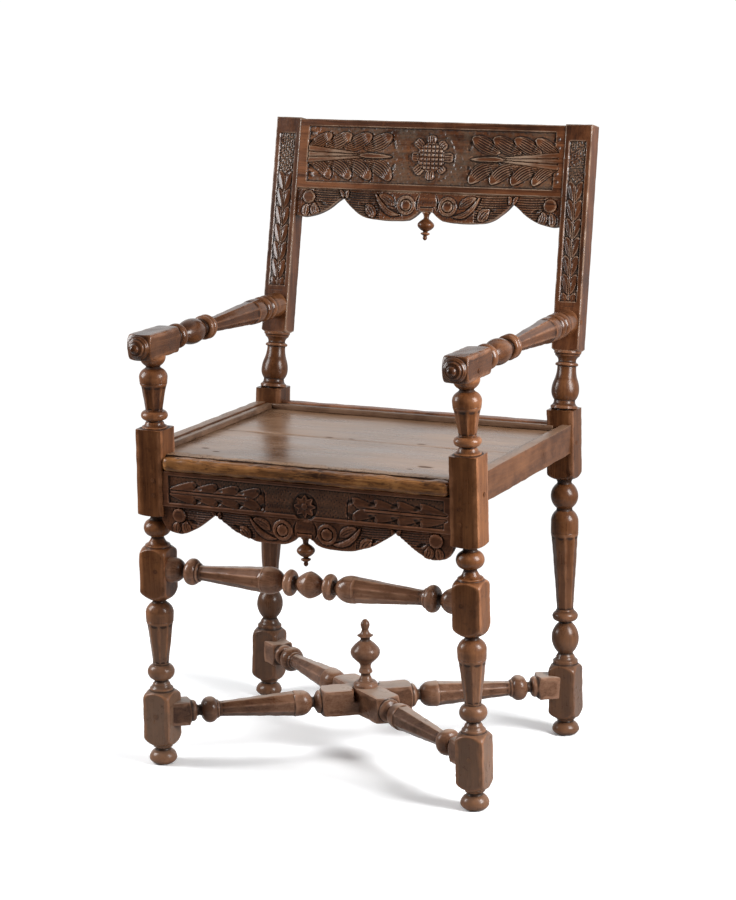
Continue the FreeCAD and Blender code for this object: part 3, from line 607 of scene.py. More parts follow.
def board(name, low, high, rounding=1.4, step=16.0, segments=3):
    """A planed board between two corners, its arrises eased and its length cut for shaping."""
    low, high = Vector(low), Vector(high)
    size, centre = high - low, (high + low) / 2
    bpy.ops.object.select_all(action="DESELECT")
    bpy.ops.mesh.primitive_cube_add(size=1)
    piece = named(name)
    open_all(piece)
    bpy.ops.transform.resize(value=size)
    bpy.ops.transform.translate(value=centre)
    bpy.ops.mesh.bevel(offset=rounding, segments=segments, affect="EDGES")
    for axis in range(3):
        count = int(size[axis] / step)
        normal = [0.0, 0.0, 0.0]
        normal[axis] = 1.0
        for cut in range(1, count):
            spot = low.copy()
            spot[axis] += size[axis] * cut / count
            bpy.ops.mesh.select_all(action="SELECT")
            bpy.ops.mesh.bisect(plane_co=spot, plane_no=normal)
    close()
    return piece


def carved_board(name, left, right, foot, top, face, thick, relief, step=0.9, layers=1):
    """A board whose front is a fine grid raised and sunk by a relief, with flat sides and back."""
    columns = int((right - left) / step)
    lines = int((top - min(foot(np.array([left, 0.0, right])))) / step)
    bpy.ops.object.select_all(action="DESELECT")
    bpy.ops.mesh.primitive_grid_add(x_subdivisions=columns, y_subdivisions=lines, size=2)
    piece = named(name)
    spots = where(piece)
    u = left + (spots[:, 0] + 1) / 2 * (right - left)
    edge = foot(u)
    v = edge + (spots[:, 1] + 1) / 2 * (top - edge)
    move_to(piece, np.stack([u, face - relief(u, v), v], 1))
    done = len(spots)
    open_all(piece)
    bpy.ops.mesh.region_to_loop()
    for layer in range(layers):
        shift = {"value": (0, thick / layers, 0)}
        bpy.ops.mesh.extrude_edges_move(TRANSFORM_OT_translate=shift)
    bpy.ops.mesh.edge_face_add()
    bpy.ops.mesh.select_all(action="SELECT")
    bpy.ops.mesh.normals_make_consistent(inside=False)
    close()
    spots = where(piece)
    ring = (len(spots) - done) // layers
    for layer in range(layers):
        part = slice(done + ring * layer, done + ring * (layer + 1))
        spots[part, 1] = face + thick * (layer + 1) / layers
    move_to(piece, spots)
    depth = np.zeros(len(spots))
    depth[-ring:] = -1
    depth[:done] = np.clip((spots[:done, 1] - face) / 3, 0, 1)
    mark(piece, "sunk", depth)
    return piece


# ---- strokes of the carver, as heights in millimetres over a flat face

def smooth_step(value):
    value = np.clip(value, 0, 1)
    return value * value * (3 - 2 * value)


def along_bow(u, v, start, bend, end, steps=28):
    """For each point: its place along a bowed line, and its distance to the left of it."""
    t = np.linspace(0, 1, steps)[:, None]
    start, bend, end = np.array(start), np.array(bend), np.array(end)
    line = (1 - t) ** 2 * start + 2 * t * (1 - t) * bend + t ** 2 * end
    best = np.full(len(u), 1e9)
    place = np.zeros(len(u))
    side = np.zeros(len(u))
    for i in range(steps - 1):
        a, run = line[i], line[i + 1] - line[i]
        span = run @ run
        s = np.clip(((u - a[0]) * run[0] + (v - a[1]) * run[1]) / span, 0, 1)
        du, dv = u - a[0] - s * run[0], v - a[1] - s * run[1]
        far = np.hypot(du, dv)
        nearer = far < best
        best = np.where(nearer, far, best)
        place = np.where(nearer, (i + s) / (steps - 1), place)
        side = np.where(nearer, np.sign(run[0] * dv - run[1] * du) * far, side)
    return place, side


def leaf(u, v, height, start, bend, end, width, rise, cuts=5, fullest=0.66, groove=1.0, moat=1.5,
         keep=0.93, root=0.9):
    """A swelling leaf over what is carved, gouged along its length, in a chopped hollow."""
    reach = width + 5
    low = np.minimum(np.minimum(start, bend), end) - reach
    high = np.maximum(np.maximum(start, bend), end) + reach
    near = (u > low[0]) & (u < high[0]) & (v > low[1]) & (v < high[1])
    if not near.any():
        return height
    place, side = along_bow(u[near], v[near], start, bend, end)
    swell = np.sin(math.pi / 2 * np.clip(place / fullest, 0, 1)) ** root * 0.92 + 0.08
    close_in = np.sqrt(np.clip(1 - ((place - fullest) / (1 - fullest)) ** 2, 0, 1))
    spread = width * np.where(place < fullest, swell, close_in)
    across = side / np.maximum(spread, 0.3)
    inside = smooth_step((1.0 - np.abs(across)) * spread / 1.0)
    crown = rise * (0.45 + 0.55 * np.sqrt(np.clip(1 - across ** 2, 0, 1)))
    step = ((np.clip(across, -1, 1) * 0.5 + 0.5) * cuts) % 1 * 2 - 1
    fading = np.clip((keep - place) * 6, 0, 1) * np.clip(spread / 3.5, 0.25, 1)
    trough = groove * (1 - step ** 2) * fading
    here = height[near]
    ring = np.clip(1 - (np.abs(side) - spread) / 3.2, 0, 1) ** 0.7 * (np.abs(across) > 1)
    here = here - moat * ring * (here < rise * 0.8)
    raised = crown - trough
    height = height.copy()
    height[near] = np.where(inside > 0.5, raised, here + (np.maximum(raised, here) - here) * inside)
    return height


def nick(u, v, height, at, size, depth, turn=0.0, long=1.0):
    """One scoop of a gouge."""
    x, y = u - at[0], v - at[1]
    c, s = math.cos(turn), math.sin(turn)
    far = ((x * c + y * s) / (size * long)) ** 2 + ((y * c - x * s) / size) ** 2
    return height - depth * np.clip(1 - far, 0, 1) ** 0.7


def boss(u, v, height, at, radius, rise, ring=0.0, moat=0.8):
    """A turned-over scroll end: a domed button, with a rounded ring round it."""
    far = np.hypot(u - at[0], v - at[1])
    dome = rise * (0.35 + 0.65 * np.sqrt(np.clip(1 - (far / radius) ** 2, 0, 1)))
    height = height - moat * np.clip(1 - (far - radius) / 2.0, 0, 1)
    height = np.where(far < radius, dome, height)
    if ring:
        inner, outer = radius + 1.6, radius + 1.6 + ring
        middle = (inner + outer) / 2
        swell = np.clip(1 - ((far - middle) / (ring / 2)) ** 2, 0, 1)
        bead = rise * 0.55 * (0.5 + 0.5 * np.sqrt(swell))
        height = np.where((far > inner) & (far < outer), bead, height)
    return height


def flutes(u, v, height, centre, from_radius, to_radius, pitch, depth, chosen):
    """Parallel gouge cuts that sweep round a far centre."""
    far = np.hypot(u - centre[0], v - centre[1])
    step = (far / pitch) % 1 * 2 - 1
    band = chosen & (far > from_radius) & (far < to_radius)
    return np.where(band, height - depth * (1 - step ** 2), height)


def score(u, v, height, start, bend, end, width, depth):
    """One tapering knife cut."""
    place, side = along_bow(u, v, start, bend, end, 16)
    wide = width * np.sin(math.pi * np.clip(place, 0.02, 0.98)) ** 0.6
    return height - depth * np.clip(1 - np.abs(side) / np.maximum(wide, 0.2), 0, 1)


def stippled(u, v, seed, size=2.2):
    pick = np.random.RandomState(seed)
    total = np.zeros(len(u))
    for _ in range(14):
        way = pick.uniform(0, math.pi)
        pitch = 2 * math.pi / (size * pick.uniform(0.8, 2.4))
        total += np.sin((u * math.cos(way) + v * math.sin(way)) * pitch + pick.uniform(0, 6.3))
    return total / 5.3


def sunk(u, v, left, right, low, high, sink, slope=1.6):
    """A sunk panel with steep chopped sides."""
    inside = np.minimum(np.minimum(u - left, right - u), np.minimum(v - low, high - v))
    return -sink * smooth_step(inside / slope)


def eased_rim(u, v, left, right, low, high, ease=1.3):
    inside = np.minimum(np.minimum(u - left, right - u), np.minimum(v - low, high - v))
    lack = np.clip(1 - inside / ease, 0, 1)
    return -ease * 0.8 * (1 - np.sqrt(np.clip(1 - lack ** 2, 0, 1)))


# ---- crest rail

crest_high = back_length - crest_below_top
crest_low = crest_high - crest_height
crest_span = post_spacing / 2 - back_inward * back_length - half
crest_wide = post_spacing / 2 - half * 0.8
crest_face = -back_half + crest_setback


def sunflower(u, v, height, at, petals=8):
    """A flower of gouged petals round a disc of cut studs."""
    x, y = u - at[0], v - at[1]
    far, way = np.hypot(x, y), np.arctan2(y, x)
    sector = 2 * math.pi / petals
    turn = (way + sector / 2) % sector - sector / 2
    number = np.floor((way + sector / 2) / sector) % petals
    tip = 36.5 + 2.4 * np.cos(number * 2.3)
    out, side = far * np.cos(turn), np.abs(far * np.sin(turn))
    wide = 7.6 + 0.7 * np.sin(number * 1.7) + (out - 26.0) * 0.14
    rounded = wide * np.sqrt(np.clip(1 - ((out - tip + 7) / 7.5) ** 2, 0, 1))
    wide = np.where(out > tip - 7, rounded, wide)
    petal = (far > 22) & (out < tip) & (side < wide)
    inside = smooth_step((wide - side) / 1.0) * smooth_step((tip - out) / 1.0)
    step = (side / 3.9 + 0.5) % 1 * 2 - 1
    raised = 2.5 * np.clip((far - 14) / 16, 0.45, 1.0) - 1.2 * (1 - step ** 2) + 0.3
    raised = raised + 0.2 * stippled(u, v, 6, 2.6)
    moat = smooth_step((flower_reach - far) / 5) * (far > 20)
    height = np.where(far < flower_reach, height - 0.8 * moat, height)
    height = np.where(petal, height + (raised - crest_sink - height) * inside, height)
    near = np.maximum(np.abs((x / flower_stud) % 1 - 0.5),
                      np.abs((y / flower_stud) % 1 - 0.5)) * 2
    studs = 3.2 - 2.6 * np.clip((near - 0.20) / 0.80, 0, 1)
    dome = (0.7 * np.sqrt(np.clip(1 - (far / flower_disc) ** 2, 0, 1))
            - 1.6 * smooth_step((far - flower_disc + 2) / 2))
    return np.where(far < flower_disc, studs - crest_sink - 0.5 + dome, height)


def crest_relief(u, v):
    end = crest_span - crest_end_border
    low, high = crest_low + crest_border, crest_high - crest_border
    height = sunk(u, v, -end, end, low, high, crest_sink, 1.3)
    ground = height < -crest_sink * 0.9
    height = height + (0.34 * stippled(u, v, 3, 7.0) + 0.12 * stippled(u, v, 4, 2.4)) * ground
    middle = (low + high) / 2
    outward = np.abs(u - carving_shift)
    for number, size in enumerate(crest_leaf_sizes):
        tip = crest_leaf_start + crest_leaf_pitch * number
        for way, line in ((1, ((50, 11.0), (27, 19.0), (2, 34.0))),
                          (-1, ((52, 12.0), (14, 13.0), (2, 41.0)))):
            start, bend, point = [(tip + reach * size, middle + way * off) for reach, off in line]
            height = leaf(outward, v, height + crest_sink, start, bend, point, 12.2 * size, 3.6,
                          6, 0.55, 2.2, 0.9, 0.86, 0.5) - crest_sink
            scoop = (tip - 1.5, middle + way * 20.0)
            height = nick(outward, v, height, scoop, 4.6, 1.8, way * 1.2, 2.0)
    root, join = end + 2.0, 118.0
    gap = middle - 0.5
    share = np.clip((outward - join) / (root - join), 0, 1)
    for low_root, high_root, low_join, high_join in (
            (5.0, 14.5, 1.0, 3.2), (-4.0, 4.0, -1.0, 1.0), (-14.5, -5.0, -3.2, -1.0)):
        floor = gap + low_join + (low_root - low_join) * share
        roof = gap + high_join + (high_root - high_join) * share
        near = np.minimum(v - floor, roof - v)
        inside = (outward > join) & (outward < root) & (near > -0.8)
        stem = np.where(near > 0, 1.1 + 2.1 * np.sqrt(np.clip(near / 2.6, 0, 1)), -0.8)
        height = np.where(inside, stem - crest_sink, height)
    height = leaf(outward, v, height + crest_sink, (130.0, middle - 0.5), (100.0, middle - 0.5),
                  (70.0, middle - 1.5), 4.6, 3.0, 1, 0.3, 0.0, 1.4) - crest_sink
    for inset, off in ((3, 34), (2, 20), (3, -21), (2, -34)):
        height = nick(outward, v, height, (end - inset, middle + off), 5.0, 1.6, 0.2, 1.4)
    height = sunflower(u, v, height, (carving_shift, middle))
    rim = eased_rim(u, v, -crest_wide - 5, crest_wide + 5, crest_low, crest_high)
    return np.minimum(height, 0.25) + rim


def crest_rail():
    flat = lambda u: np.full(len(u), crest_low)
    return carved_board("rail_crest", -crest_wide, crest_wide, flat, crest_high, crest_face,
                        crest_thick, crest_relief, 0.82)


# ---- valances

def edge_line(rows, half_width, top, drop):
    line = [(rows[0][0] * half_width, top - rows[0][1] * drop)]
    for place, depth, *middle in rows[1:]:
        last = line[-1]
        here = (place * half_width, top - depth * drop)
        if middle:
            line += arc_between(last, ((last[0] + here[0]) / 2, top - middle[0] * drop), here, 1.5)
        else:
            line.append(here)
    line = np.array(sorted(line))
    return lambda u: np.interp(np.abs(u), line[:, 0], line[:, 1])


def scrolled(u, v, top, drop, foot, lively):
    """Scroll ends, leaves and sweeping gouge cuts of one valance, mirrored about its middle."""
    out = np.abs(u - carving_shift * 0.5)
    deep = top - v
    part = drop / 48.0
    height = np.full(len(u), -0.4)
    for place, rise, inner, outer, first, last in ((110.0, 300, 300, 360, 84, 148),
                                                   (176.0, 260, 258, 320, 148, 205)):
        height = flutes(out, v, height, (place, top + rise * part), inner * part, outer * part,
                        3.9, 1.6 * lively, (out > first) & (out < last))

    def at(place, down):
        return place, top - down * part

    # each leaf's start, bend and end, then its width, rise, cuts, fullest place, groove and moat
    rim = top - 1
    for start, bend, end, *cut in (
            (at(58, 24), at(66, 14), at(86, 7), 8.0, 1.6, 4, 0.5, 1.0, 0.9),
            (at(46, 38), at(74, 42), at(92, 5), 4.6, 2.4, 2, 0.4, 0.8, 1.2),
            (at(110, 24), at(100, 30), at(94, 44), 9.0, 1.8, 4, 0.55, 1.0, 1.0),
            (at(143, 15), at(147, 8), (142.0, rim), 3.6, 1.4, 2, 0.5, 0.6, 1.2),
            (at(152, 15), at(150, 8), (158.0, rim), 3.4, 1.2, 2, 0.5, 0.6, 1.0),
            (at(202, 24), at(206, 36), at(196, 47), 8.0, 1.8, 4, 0.5, 1.0, 1.0),
            (at(215, 26), at(221, 36), at(218, 47), 7.0, 1.8, 3, 0.5, 1.0, 0.8)):
        height = leaf(out, v, height, start, bend, end, *cut)
    height = nick(out, v, height, at(113, 25), 3.4, 2.6, 0.3, 2.6)
    height = nick(out, v, height, at(190, 24), 3.6, 2.8, 0.4, 2.6)
    height = boss(out, v, height, at(37, 22), 9.0, 2.8, 5.4, 1.1)
    height = boss(out, v, height, at(214, 14), 11.0, 3.2, 0.0, 1.2)
    height = score(out, v, height, (14.0, top - 3), at(22, 18), at(17, 30), 2.4, 2.4)
    collar = (out < 12) & (deep > drop * 0.52)
    height = np.where(collar, 0.9, height)
    height = np.where((out < 12) & ~collar & (deep > drop * 0.48), -1.8, height)
    height = height + 0.22 * stippled(u, v, 11, 3.0)
    round_edge = np.clip(1 - (v - foot) / 2.0, 0, 1)
    under_rail = 1.2 * np.clip(1 - deep / 2.2, 0, 1)
    return height - 1.3 * (1 - np.sqrt(np.clip(1 - round_edge ** 2, 0, 1))) - under_rail


def valance(name, rows, top, drop, face, lively):
    foot = edge_line(rows, crest_wide, top, drop)
    return carved_board(name, -crest_wide, crest_wide, foot, top, face, valance_thick,
                        lambda u, v: np.clip(scrolled(u, v, top, drop, foot(u), lively), -4.5, 2.6),
                        0.85)


# ---- front seat rail

front_face = -half + front_rail_setback
front_low = seat_under - front_rail_height


def front_relief(u, v):
    end = post_spacing / 2 - half - front_end_border
    low, high = front_low + front_border, seat_under - front_border
    height = sunk(u, v, -end, end, low, high, front_sink, 1.2)
    middle = front_low + 24.0
    out = np.abs(u - carving_shift)
    height = height + 0.30 * stippled(u, v, 21, 3.4) * (height < -front_sink * 0.9)
    for number in range(4):
        tip = front_leaf_start + front_leaf_pitch * number
        for way in (1, -1):
            rise = 17.0 if way > 0 else 15.5
            height = leaf(out, v, height + front_sink, (tip + 46, middle + way * 4.0),
                          (tip + 16, middle + way * 3.0), (tip + 1, middle + way * rise),
                          8.2, 1.5, 2, 0.55, 0.4, 0.6, 0.9, 0.6) - front_sink
            height = nick(out, v, height, (tip - 2, middle + way * 11.0), 4.4, 2.0, way * 0.5, 2.0)
    rib = np.abs(v - middle)
    stem = np.maximum(height, -0.35 - 0.5 * (rib / 1.7) ** 2)
    height = np.where((rib < 1.7) & (out > 96) & (out < end), stem, height)
    beside = (rib >= 1.7) & (rib < 3.2) & (out > 100) & (out < end)
    height = np.where(beside, np.minimum(height, -2.4), height)
    height = score(out, v, height, (72.0, middle + 19), (66.0, middle), (70.0, middle - 19),
                   1.8, 1.8)
    x, y = u - 3.0, v - (front_low + 21.0)
    far, way = np.hypot(x, y), np.arctan2(y, x)
    sector = math.pi / 4
    turn = (way + sector / 2) % sector - sector / 2
    petal_tip = 17.5 * (1 - 0.10 * (np.abs(turn) / (sector / 2)) ** 2)
    side = np.abs(far * np.sin(turn))
    wide = np.interp(far, [3.0, 9.5, 18.0], [2.2, 5.6, 0.8])
    petal = (far < petal_tip) & (far > 4.0) & (side < wide)
    dish = 2.5 - 1.2 * np.clip(1 - (side / np.maximum(wide, 0.3)) ** 2, 0, 1)
    moat = np.minimum(height, -front_sink - 1.3 * smooth_step((rosette_reach - far) / 3))
    height = np.where(far < rosette_reach, moat, height)
    height = np.where(petal, -front_sink + dish, height)
    button = -front_sink + 1.9 + 0.7 * np.sqrt(np.clip(1 - (far / rosette_button) ** 2, 0, 1))
    height = np.where(far < rosette_button, button, height)
    wide = post_spacing / 2
    return np.minimum(height, 0.2) + eased_rim(u, v, -wide, wide, front_low, seat_under)


def front_rail():
    flat = lambda u: np.full(len(u), front_low)
    wide = post_spacing / 2 - half * 0.75
    return carved_board("rail_front", -wide, wide, flat, seat_under, front_face, front_rail_thick,
                        front_relief)


# ---- upper length of a back post, carved on its face

def post_relief(u, v):
    rim = half - back_panel_border
    height = sunk(u, v, -rim, rim, back_panel_bottom, back_panel_top, panel_sink, 1.3)
    floor = height < -panel_sink * 0.85
    chain_top = back_panel_bottom + back_chain
    rough = v > chain_top
    pebbles = 0.75 * stippled(u, v, 31, 4.0) + 0.35 * stippled(u, v, 32, 2.4)
    height = height + np.where(floor & rough, pebbles, 0.15 * pebbles * floor)
    plain = height
    for number in range(7):
        root = chain_top - back_leaf_pitch * (number + 1)
        for way in (1, -1):
            height = leaf(u, v, height + panel_sink, (way * 1.6, root - 2),
                          (way * 3.0, root + 14), (way * 11.0, root + 31),
                          7.0, 1.5, 2, 0.55, 0.5, 0.4, 0.95, 0.7) - panel_sink
    height = np.where((v > back_panel_bottom + 0.8) & (np.abs(u) < rim - 0.6), height, plain)
    rib = np.abs(u)
    chain = (v > back_panel_bottom + 2) & (v < chain_top - 6)
    ends = smooth_step((chain_top - 2 - v) / 6) * smooth_step((v - back_panel_bottom - 1) / 6)
    height = height + 1.3 * (1 - np.minimum(rib / 13.0, 1) ** 2) * ends
    stem = np.maximum(height, -0.5 - 0.4 * (rib / 1.2) ** 2)
    height = np.where(chain & (rib < 1.2), stem, height)
    height = np.where(chain & (rib >= 1.2) & (rib < 2.2), np.minimum(height, -1.7), height)
    line = back_panel_bottom - 7
    height = score(u, v, height, (-rim, line), (0, line), (rim, line), 1.0, 0.5)
    edge = eased_rim(u, v, -half, half, -99, back_length, 1.5)
    return np.minimum(height, 0.15) + edge


def back_block():
    """The carved upper length of a back post; the lathe rounds its foot where the vase begins."""
    flat = lambda u: np.full(len(u), vase_length)
    piece = carved_board("back_block", -half, half, flat, back_length, -back_half, back_post_depth,
                         post_relief, 0.85, 9)
    spots = where(piece)
    rise = np.clip((spots[:, 2] - vase_length) / (half * 0.30), 0, 1)
    limit = half * 0.98 + (corner_radius - half * 0.98) * rise
    reach = np.hypot(spots[:, 0], spots[:, 1])
    held = np.minimum(1, limit / np.maximum(reach, 0.01))
    spots[:, 0] *= held
    spots[:, 1] *= held
    move_to(piece, spots)
    return piece


# ---- finishes

class Line:
    """A shader value that Python operators can work on."""

    def __init__(self, finish, socket):
        self.finish = finish
        self.socket = socket

    def _sum(self, operation, first, second):
        return self.finish.add("ShaderNodeMath", {"operation": operation}, {0: first, 1: second})

    def __add__(self, other):
        return self._sum("ADD", self, other)

    def __radd__(self, other):
        return self._sum("ADD", other, self)

    def __sub__(self, other):
        return self._sum("SUBTRACT", self, other)

    def __rsub__(self, other):
        return self._sum("SUBTRACT", other, self)

    def __mul__(self, other):
        return self._sum("MULTIPLY", self, other)

    def __rmul__(self, other):
        return self._sum("MULTIPLY", other, self)

    def __truediv__(self, other):
        return self._sum("DIVIDE", self, other)

    def __pow__(self, other):
        return self._sum("POWER", self, other)

    def most(self, other):
        return self._sum("MAXIMUM", self, other)

    def vector(self, operation, other=None, out=0, **values):
        sockets = {0: self, **values} if other is None else {0: self, 1: other, **values}
        return self.finish.add("ShaderNodeVectorMath", {"operation": operation}, sockets, out)

    def move(self, cloud, reach):
        """A place shifted by a coloured cloud."""
        way = cloud.vector("SUBTRACT", (0.5, 0.5, 0.5))
        return self.vector("ADD", way.vector("SCALE", Scale=reach))

    def stretched(self, share):
        """A place whose third direction is drawn out."""
        return self.vector("MULTIPLY", (1, 1, share))

    def length(self):
        return self.vector("LENGTH", out=1)

    def part(self, axis):
        return self.finish.add("ShaderNodeSeparateXYZ", None, {0: self}, axis)

    def between(self, low, high):
        return self.finish.add("ShaderNodeMapRange", {"interpolation_type": "SMOOTHSTEP"},
                               {"Value": self, "From Min": low, "From Max": high})


class Finish:
    def __init__(self, name):
        self.material = bpy.data.materials.new(name)
        self.material.use_nodes = True
        self.tree = self.material.node_tree
        self.tree.nodes.clear()

    def add(self, kind, settings=None, values=None, out=0, stops=None):
        node = self.tree.nodes.new(kind)
        for key, value in (settings or {}).items():
            setattr(node, key, value)
        if stops:
            ramp = node.color_ramp
            while len(ramp.elements) < len(stops):
                ramp.elements.new(0.5)
            for element, (place, colour) in zip(ramp.elements, stops):
                element.position = place
                element.color = (*colour, 1)
        for key, value in (values or {}).items():
            socket = node.inputs[key]
            if isinstance(value, Line):
                self.tree.links.new(value.socket, socket)
            elif isinstance(value, tuple) and len(value) == 3 and socket.type == "RGBA":
                socket.default_value = (*value, 1)
            else:
                socket.default_value = value
        return Line(self, node.outputs[out]) if node.outputs else None

    def blend(self, share, first, second, way="MIX"):
        settings = {"data_type": "RGBA", "blend_type": way}
        return self.add("ShaderNodeMix", settings, {0: share, 6: first, 7: second}, 2)

    def cloud(self, spots, size, detail=3.0, rough=0.55, out=0):
        values = {"Vector": spots, "Scale": 1.0 / size, "Detail": detail, "Roughness": rough}
        return self.add("ShaderNodeTexNoise", {"noise_dimensions": "3D"}, values, out)

    def grained(self, grain, shift):
        """The object's own place, and the same place turned so that the grain runs along it."""
        raw = self.add("ShaderNodeTexCoord", None, None, 3)
        turned = {"Vector": raw, "Rotation": grain, "Location": shift}
        return raw, self.add("ShaderNodeMapping", None, turned)

    def toned(self, tone, tones):
        stops = list(zip((0.18, 0.5, 0.84), tones))
        return self.add("ShaderNodeValToRGB", None, {0: tone}, 0, stops)

    def waxed(self, colour, gloss, relief, strength, depth, density, coat, coat_gloss):
        pattern = {"Strength": strength, "Distance": depth, "Height": relief}
        shader = self.add("ShaderNodeBsdfPrincipled", None, {
            "Base Color": colour, "Roughness": gloss, "IOR": density,
            "Normal": self.add("ShaderNodeBump", None, pattern),
            "Coat Weight": coat, "Coat Roughness": coat_gloss, "Coat IOR": 1.45})
        self.add("ShaderNodeOutputMaterial", None, {"Surface": shader})
        return self.material


def dimmed(colour, share):
    return tuple(part * share for part in colour)


along_z = (0, 0, 0)
along_x = (0, math.pi / 2, 0)
along_y = (math.pi / 2, 0, 0)
near_floor_tone = (0.205, 0.125, 0.083)
dust_tone = (0.105, 0.082, 0.058)
bared_tone = (0.400, 0.225, 0.115)
dirt_tone = (0.036, 0.014, 0.006)


def walnut(name, grain, tones, rough=0.30, grime_and_shade=0.75, dust=0.0, rub=0.5, shift=(0, 0, 0),
           coat=0.12, figure_share=1.0, low=0.0, mottle=0.0, top=None, left=0.0, worn=None,
           keen=0.08, smear_size=0.016):
    """Old waxed walnut: figure and pores along the grain, grime and painted shade in the hollows,
    pale edges of rubbed wear and painted highlight.
    """
    dark, light = tones[0], tones[2]
    wood = Finish(name)
    raw, lined = wood.grained(grain, shift)
    bent = lined.move(wood.cloud(lined, 0.22, 2.0, 0.5, 1), 0.012)
    length = bent.stretched(0.055)
    fine = bent.stretched(0.03)
    sway = wood.cloud(lined.stretched(0.4), 0.10, 2.0)
    figure = wood.cloud(length, 0.011, 4.0, 0.6)
    thread = wood.cloud(fine, 0.0024, 3.0, 0.65)
    pores = wood.cloud(fine, 0.0010, 2.0, 0.6)
    patch = wood.cloud(raw, 0.035, 4.0, 0.62)
    lines = (figure - 0.5) * (0.85 * figure_share) + (thread - 0.5) * (0.55 * figure_share)
    colour = wood.toned(lines + (sway - 0.5) * 1.1 + (patch - 0.5) * 0.35 + 0.5, tones)
    # Paler, greyer colour towards the floor
    if low:
        paler_near_floor = (1 - raw.part(2).between(0.05, 0.36)) * low
        colour = wood.blend(paler_near_floor, colour, near_floor_tone)
    # Up-facing faces blended to the given paler colour: a painted sheen for the bright surroundings
    # mirrored on the tops
    if top:
        upward = wood.add("ShaderNodeNewGeometry", None, None, 1).part(2).between(0.75, 0.95)
        colour = wood.blend(upward * 0.85, colour, top)
    # The left part of the piece blended toward the light tone: painted light from the lamp on the
    # left
    if left:
        colour = wood.blend((1 - raw.part(0).between(-0.20, 0.05)) * left, colour, light)
    if mottle:
        smear = wood.cloud(bent.stretched(0.16), smear_size, 5.0, 0.7)
        colour = wood.blend(smear.between(0.50, 0.66) * mottle, colour, dark)
        colour = wood.blend((1 - smear.between(0.34, 0.47)) * mottle * 0.8, colour, light)
    stains = wood.cloud(raw, 0.013, 5.0, 0.7)
    colour = wood.blend(stains.between(0.56, 0.70) * 0.45, colour, dimmed(dark, 0.6))
    colour = wood.blend((1 - stains.between(0.32, 0.42)) * 0.35, colour, light)
    dashes = pores.between(0.60, 0.72) * 0.35
    colour = wood.blend(dashes, colour, dimmed(dark, 0.4))
    hollow = wood.add("ShaderNodeAttribute", {"attribute_name": "hollow"}, None, 2)
    # Raised edges and ridges blended to a pale colour: partly rubbed wear, partly a painted
    # highlight
    edge = ((0 - hollow).between(keen, 0.80) * (patch.between(0.35, 0.62) * 0.7 + 0.3)) * rub
    colour = wood.blend(edge, colour, worn or tuple(c * 1.7 + 0.03 for c in light))
    deep = hollow.between(0.05, 0.60)
    if dust:
        sunk = wood.add("ShaderNodeAttribute", {"attribute_name": "sunk"}, None, 2)
        grey = sunk.between(0.35, 0.85) * patch.between(0.34, 0.58)
        grey = grey * ((hollow + 1).between(0.5, 0.95) * dust)
        colour = wood.blend(grey, colour, dust_tone)
    # Hollows blended towards near black: partly grime, partly painted shade in the recesses
    colour = wood.blend(deep * grime_and_shade, colour, dimmed(dark, 0.22))
    gloss = (patch - 0.5) * 0.18 + (thread - 0.5) * 0.10 + deep * 0.3 + rough
    relief = (thread - 0.5) * 0.4 + figure * 0.3 - dashes * 0.8
    return wood.waxed(colour, gloss, relief, 0.3, 0.0003, 1.31, coat, 0.14)


def worn_seat(name, tones, front_edge, marks):
    """Seat planks worn smooth: straight fine grain, knots, and dirt along the broken front edge."""
    dark = tones[0]
    wood = Finish(name)
    raw, lined = wood.grained(along_x, (0.3, 0.6, 0.2))
    bent = lined.move(wood.cloud(lined, 0.18, 2.0, 0.5, 1), 0.014)
    figure = wood.cloud(bent.stretched(0.05), 0.014, 4.0, 0.6)
    thread = wood.cloud(bent.stretched(0.02), 0.0022, 3.0, 0.65)
    patch = wood.cloud(lined.stretched(0.45), 0.060, 4.0, 0.6)
    tone = (figure - 0.5) * 0.8 + (thread - 0.5) * 0.6 + (patch - 0.5) * 1.4 + 0.5
    colour = wood.toned(tone, tones)
    scratch = wood.cloud(bent.stretched(0.012), 0.0009, 2.0, 0.5).between(0.66, 0.74) * 0.45
    colour = wood.blend(scratch, colour, dimmed(dark, 0.35))

    back = raw.part(1)
    ragged = wood.cloud(raw, 0.010, 5.0, 0.7)
    wander = wood.cloud(raw, 0.050, 3.0, 0.6)
    line = front_edge + 0.0040 + (ragged - 0.5) * 0.012 + (wander - 0.5) * 0.016
    past = back - line
    crack = (1 - past.between(0.0, 0.0020)) * (past + 0.0036).between(0.0, 0.0016)
    far = (back - (front_edge + 0.012) + (wander - 0.5) * 0.050).between(0.0, 0.016)
    pits = wood.cloud(raw, 0.0024, 3.0, 0.6).between(0.50, 0.60)
    bared = 1 - far
    colour = wood.blend(bared * 0.75, colour, bared_tone)
    dirt = crack * (wander.between(0.36, 0.48) * 0.6 + 0.4)
    dirt = dirt.most(bared * pits * ragged.between(0.44, 0.58) * 0.8)
    dirt = dirt.most(1 - (back - front_edge).between(0.0005, 0.0011))
    for at, size, depth in marks:
        near = raw.vector("SUBTRACT", at).vector("MULTIPLY", (0.45, 1, 0)).length()
        near = near + (ragged - 0.5) * (size * 0.9)
        dirt = dirt.most((1 - near.between(size * 0.35, size)) * depth)
    colour = wood.blend(dirt, colour, dirt_tone)
    gloss = (patch - 0.5) * 0.36 + (thread - 0.5) * 0.16 + dirt * 0.7 + bared * 0.25 + 0.29
    relief = (thread - 0.5) * 0.5 + figure * 0.4 - scratch * 0.6 - dirt * 2.5
    return wood.waxed(colour, gloss, relief, 0.35, 0.0004, 1.45, 0.20 - dirt * 0.20, 0.18)


# ---- finishes of this chair: dark, middle and light tone of the wood

def shaded(tones, share):
    return tuple(tuple(part * share for part in tone) for tone in tones)


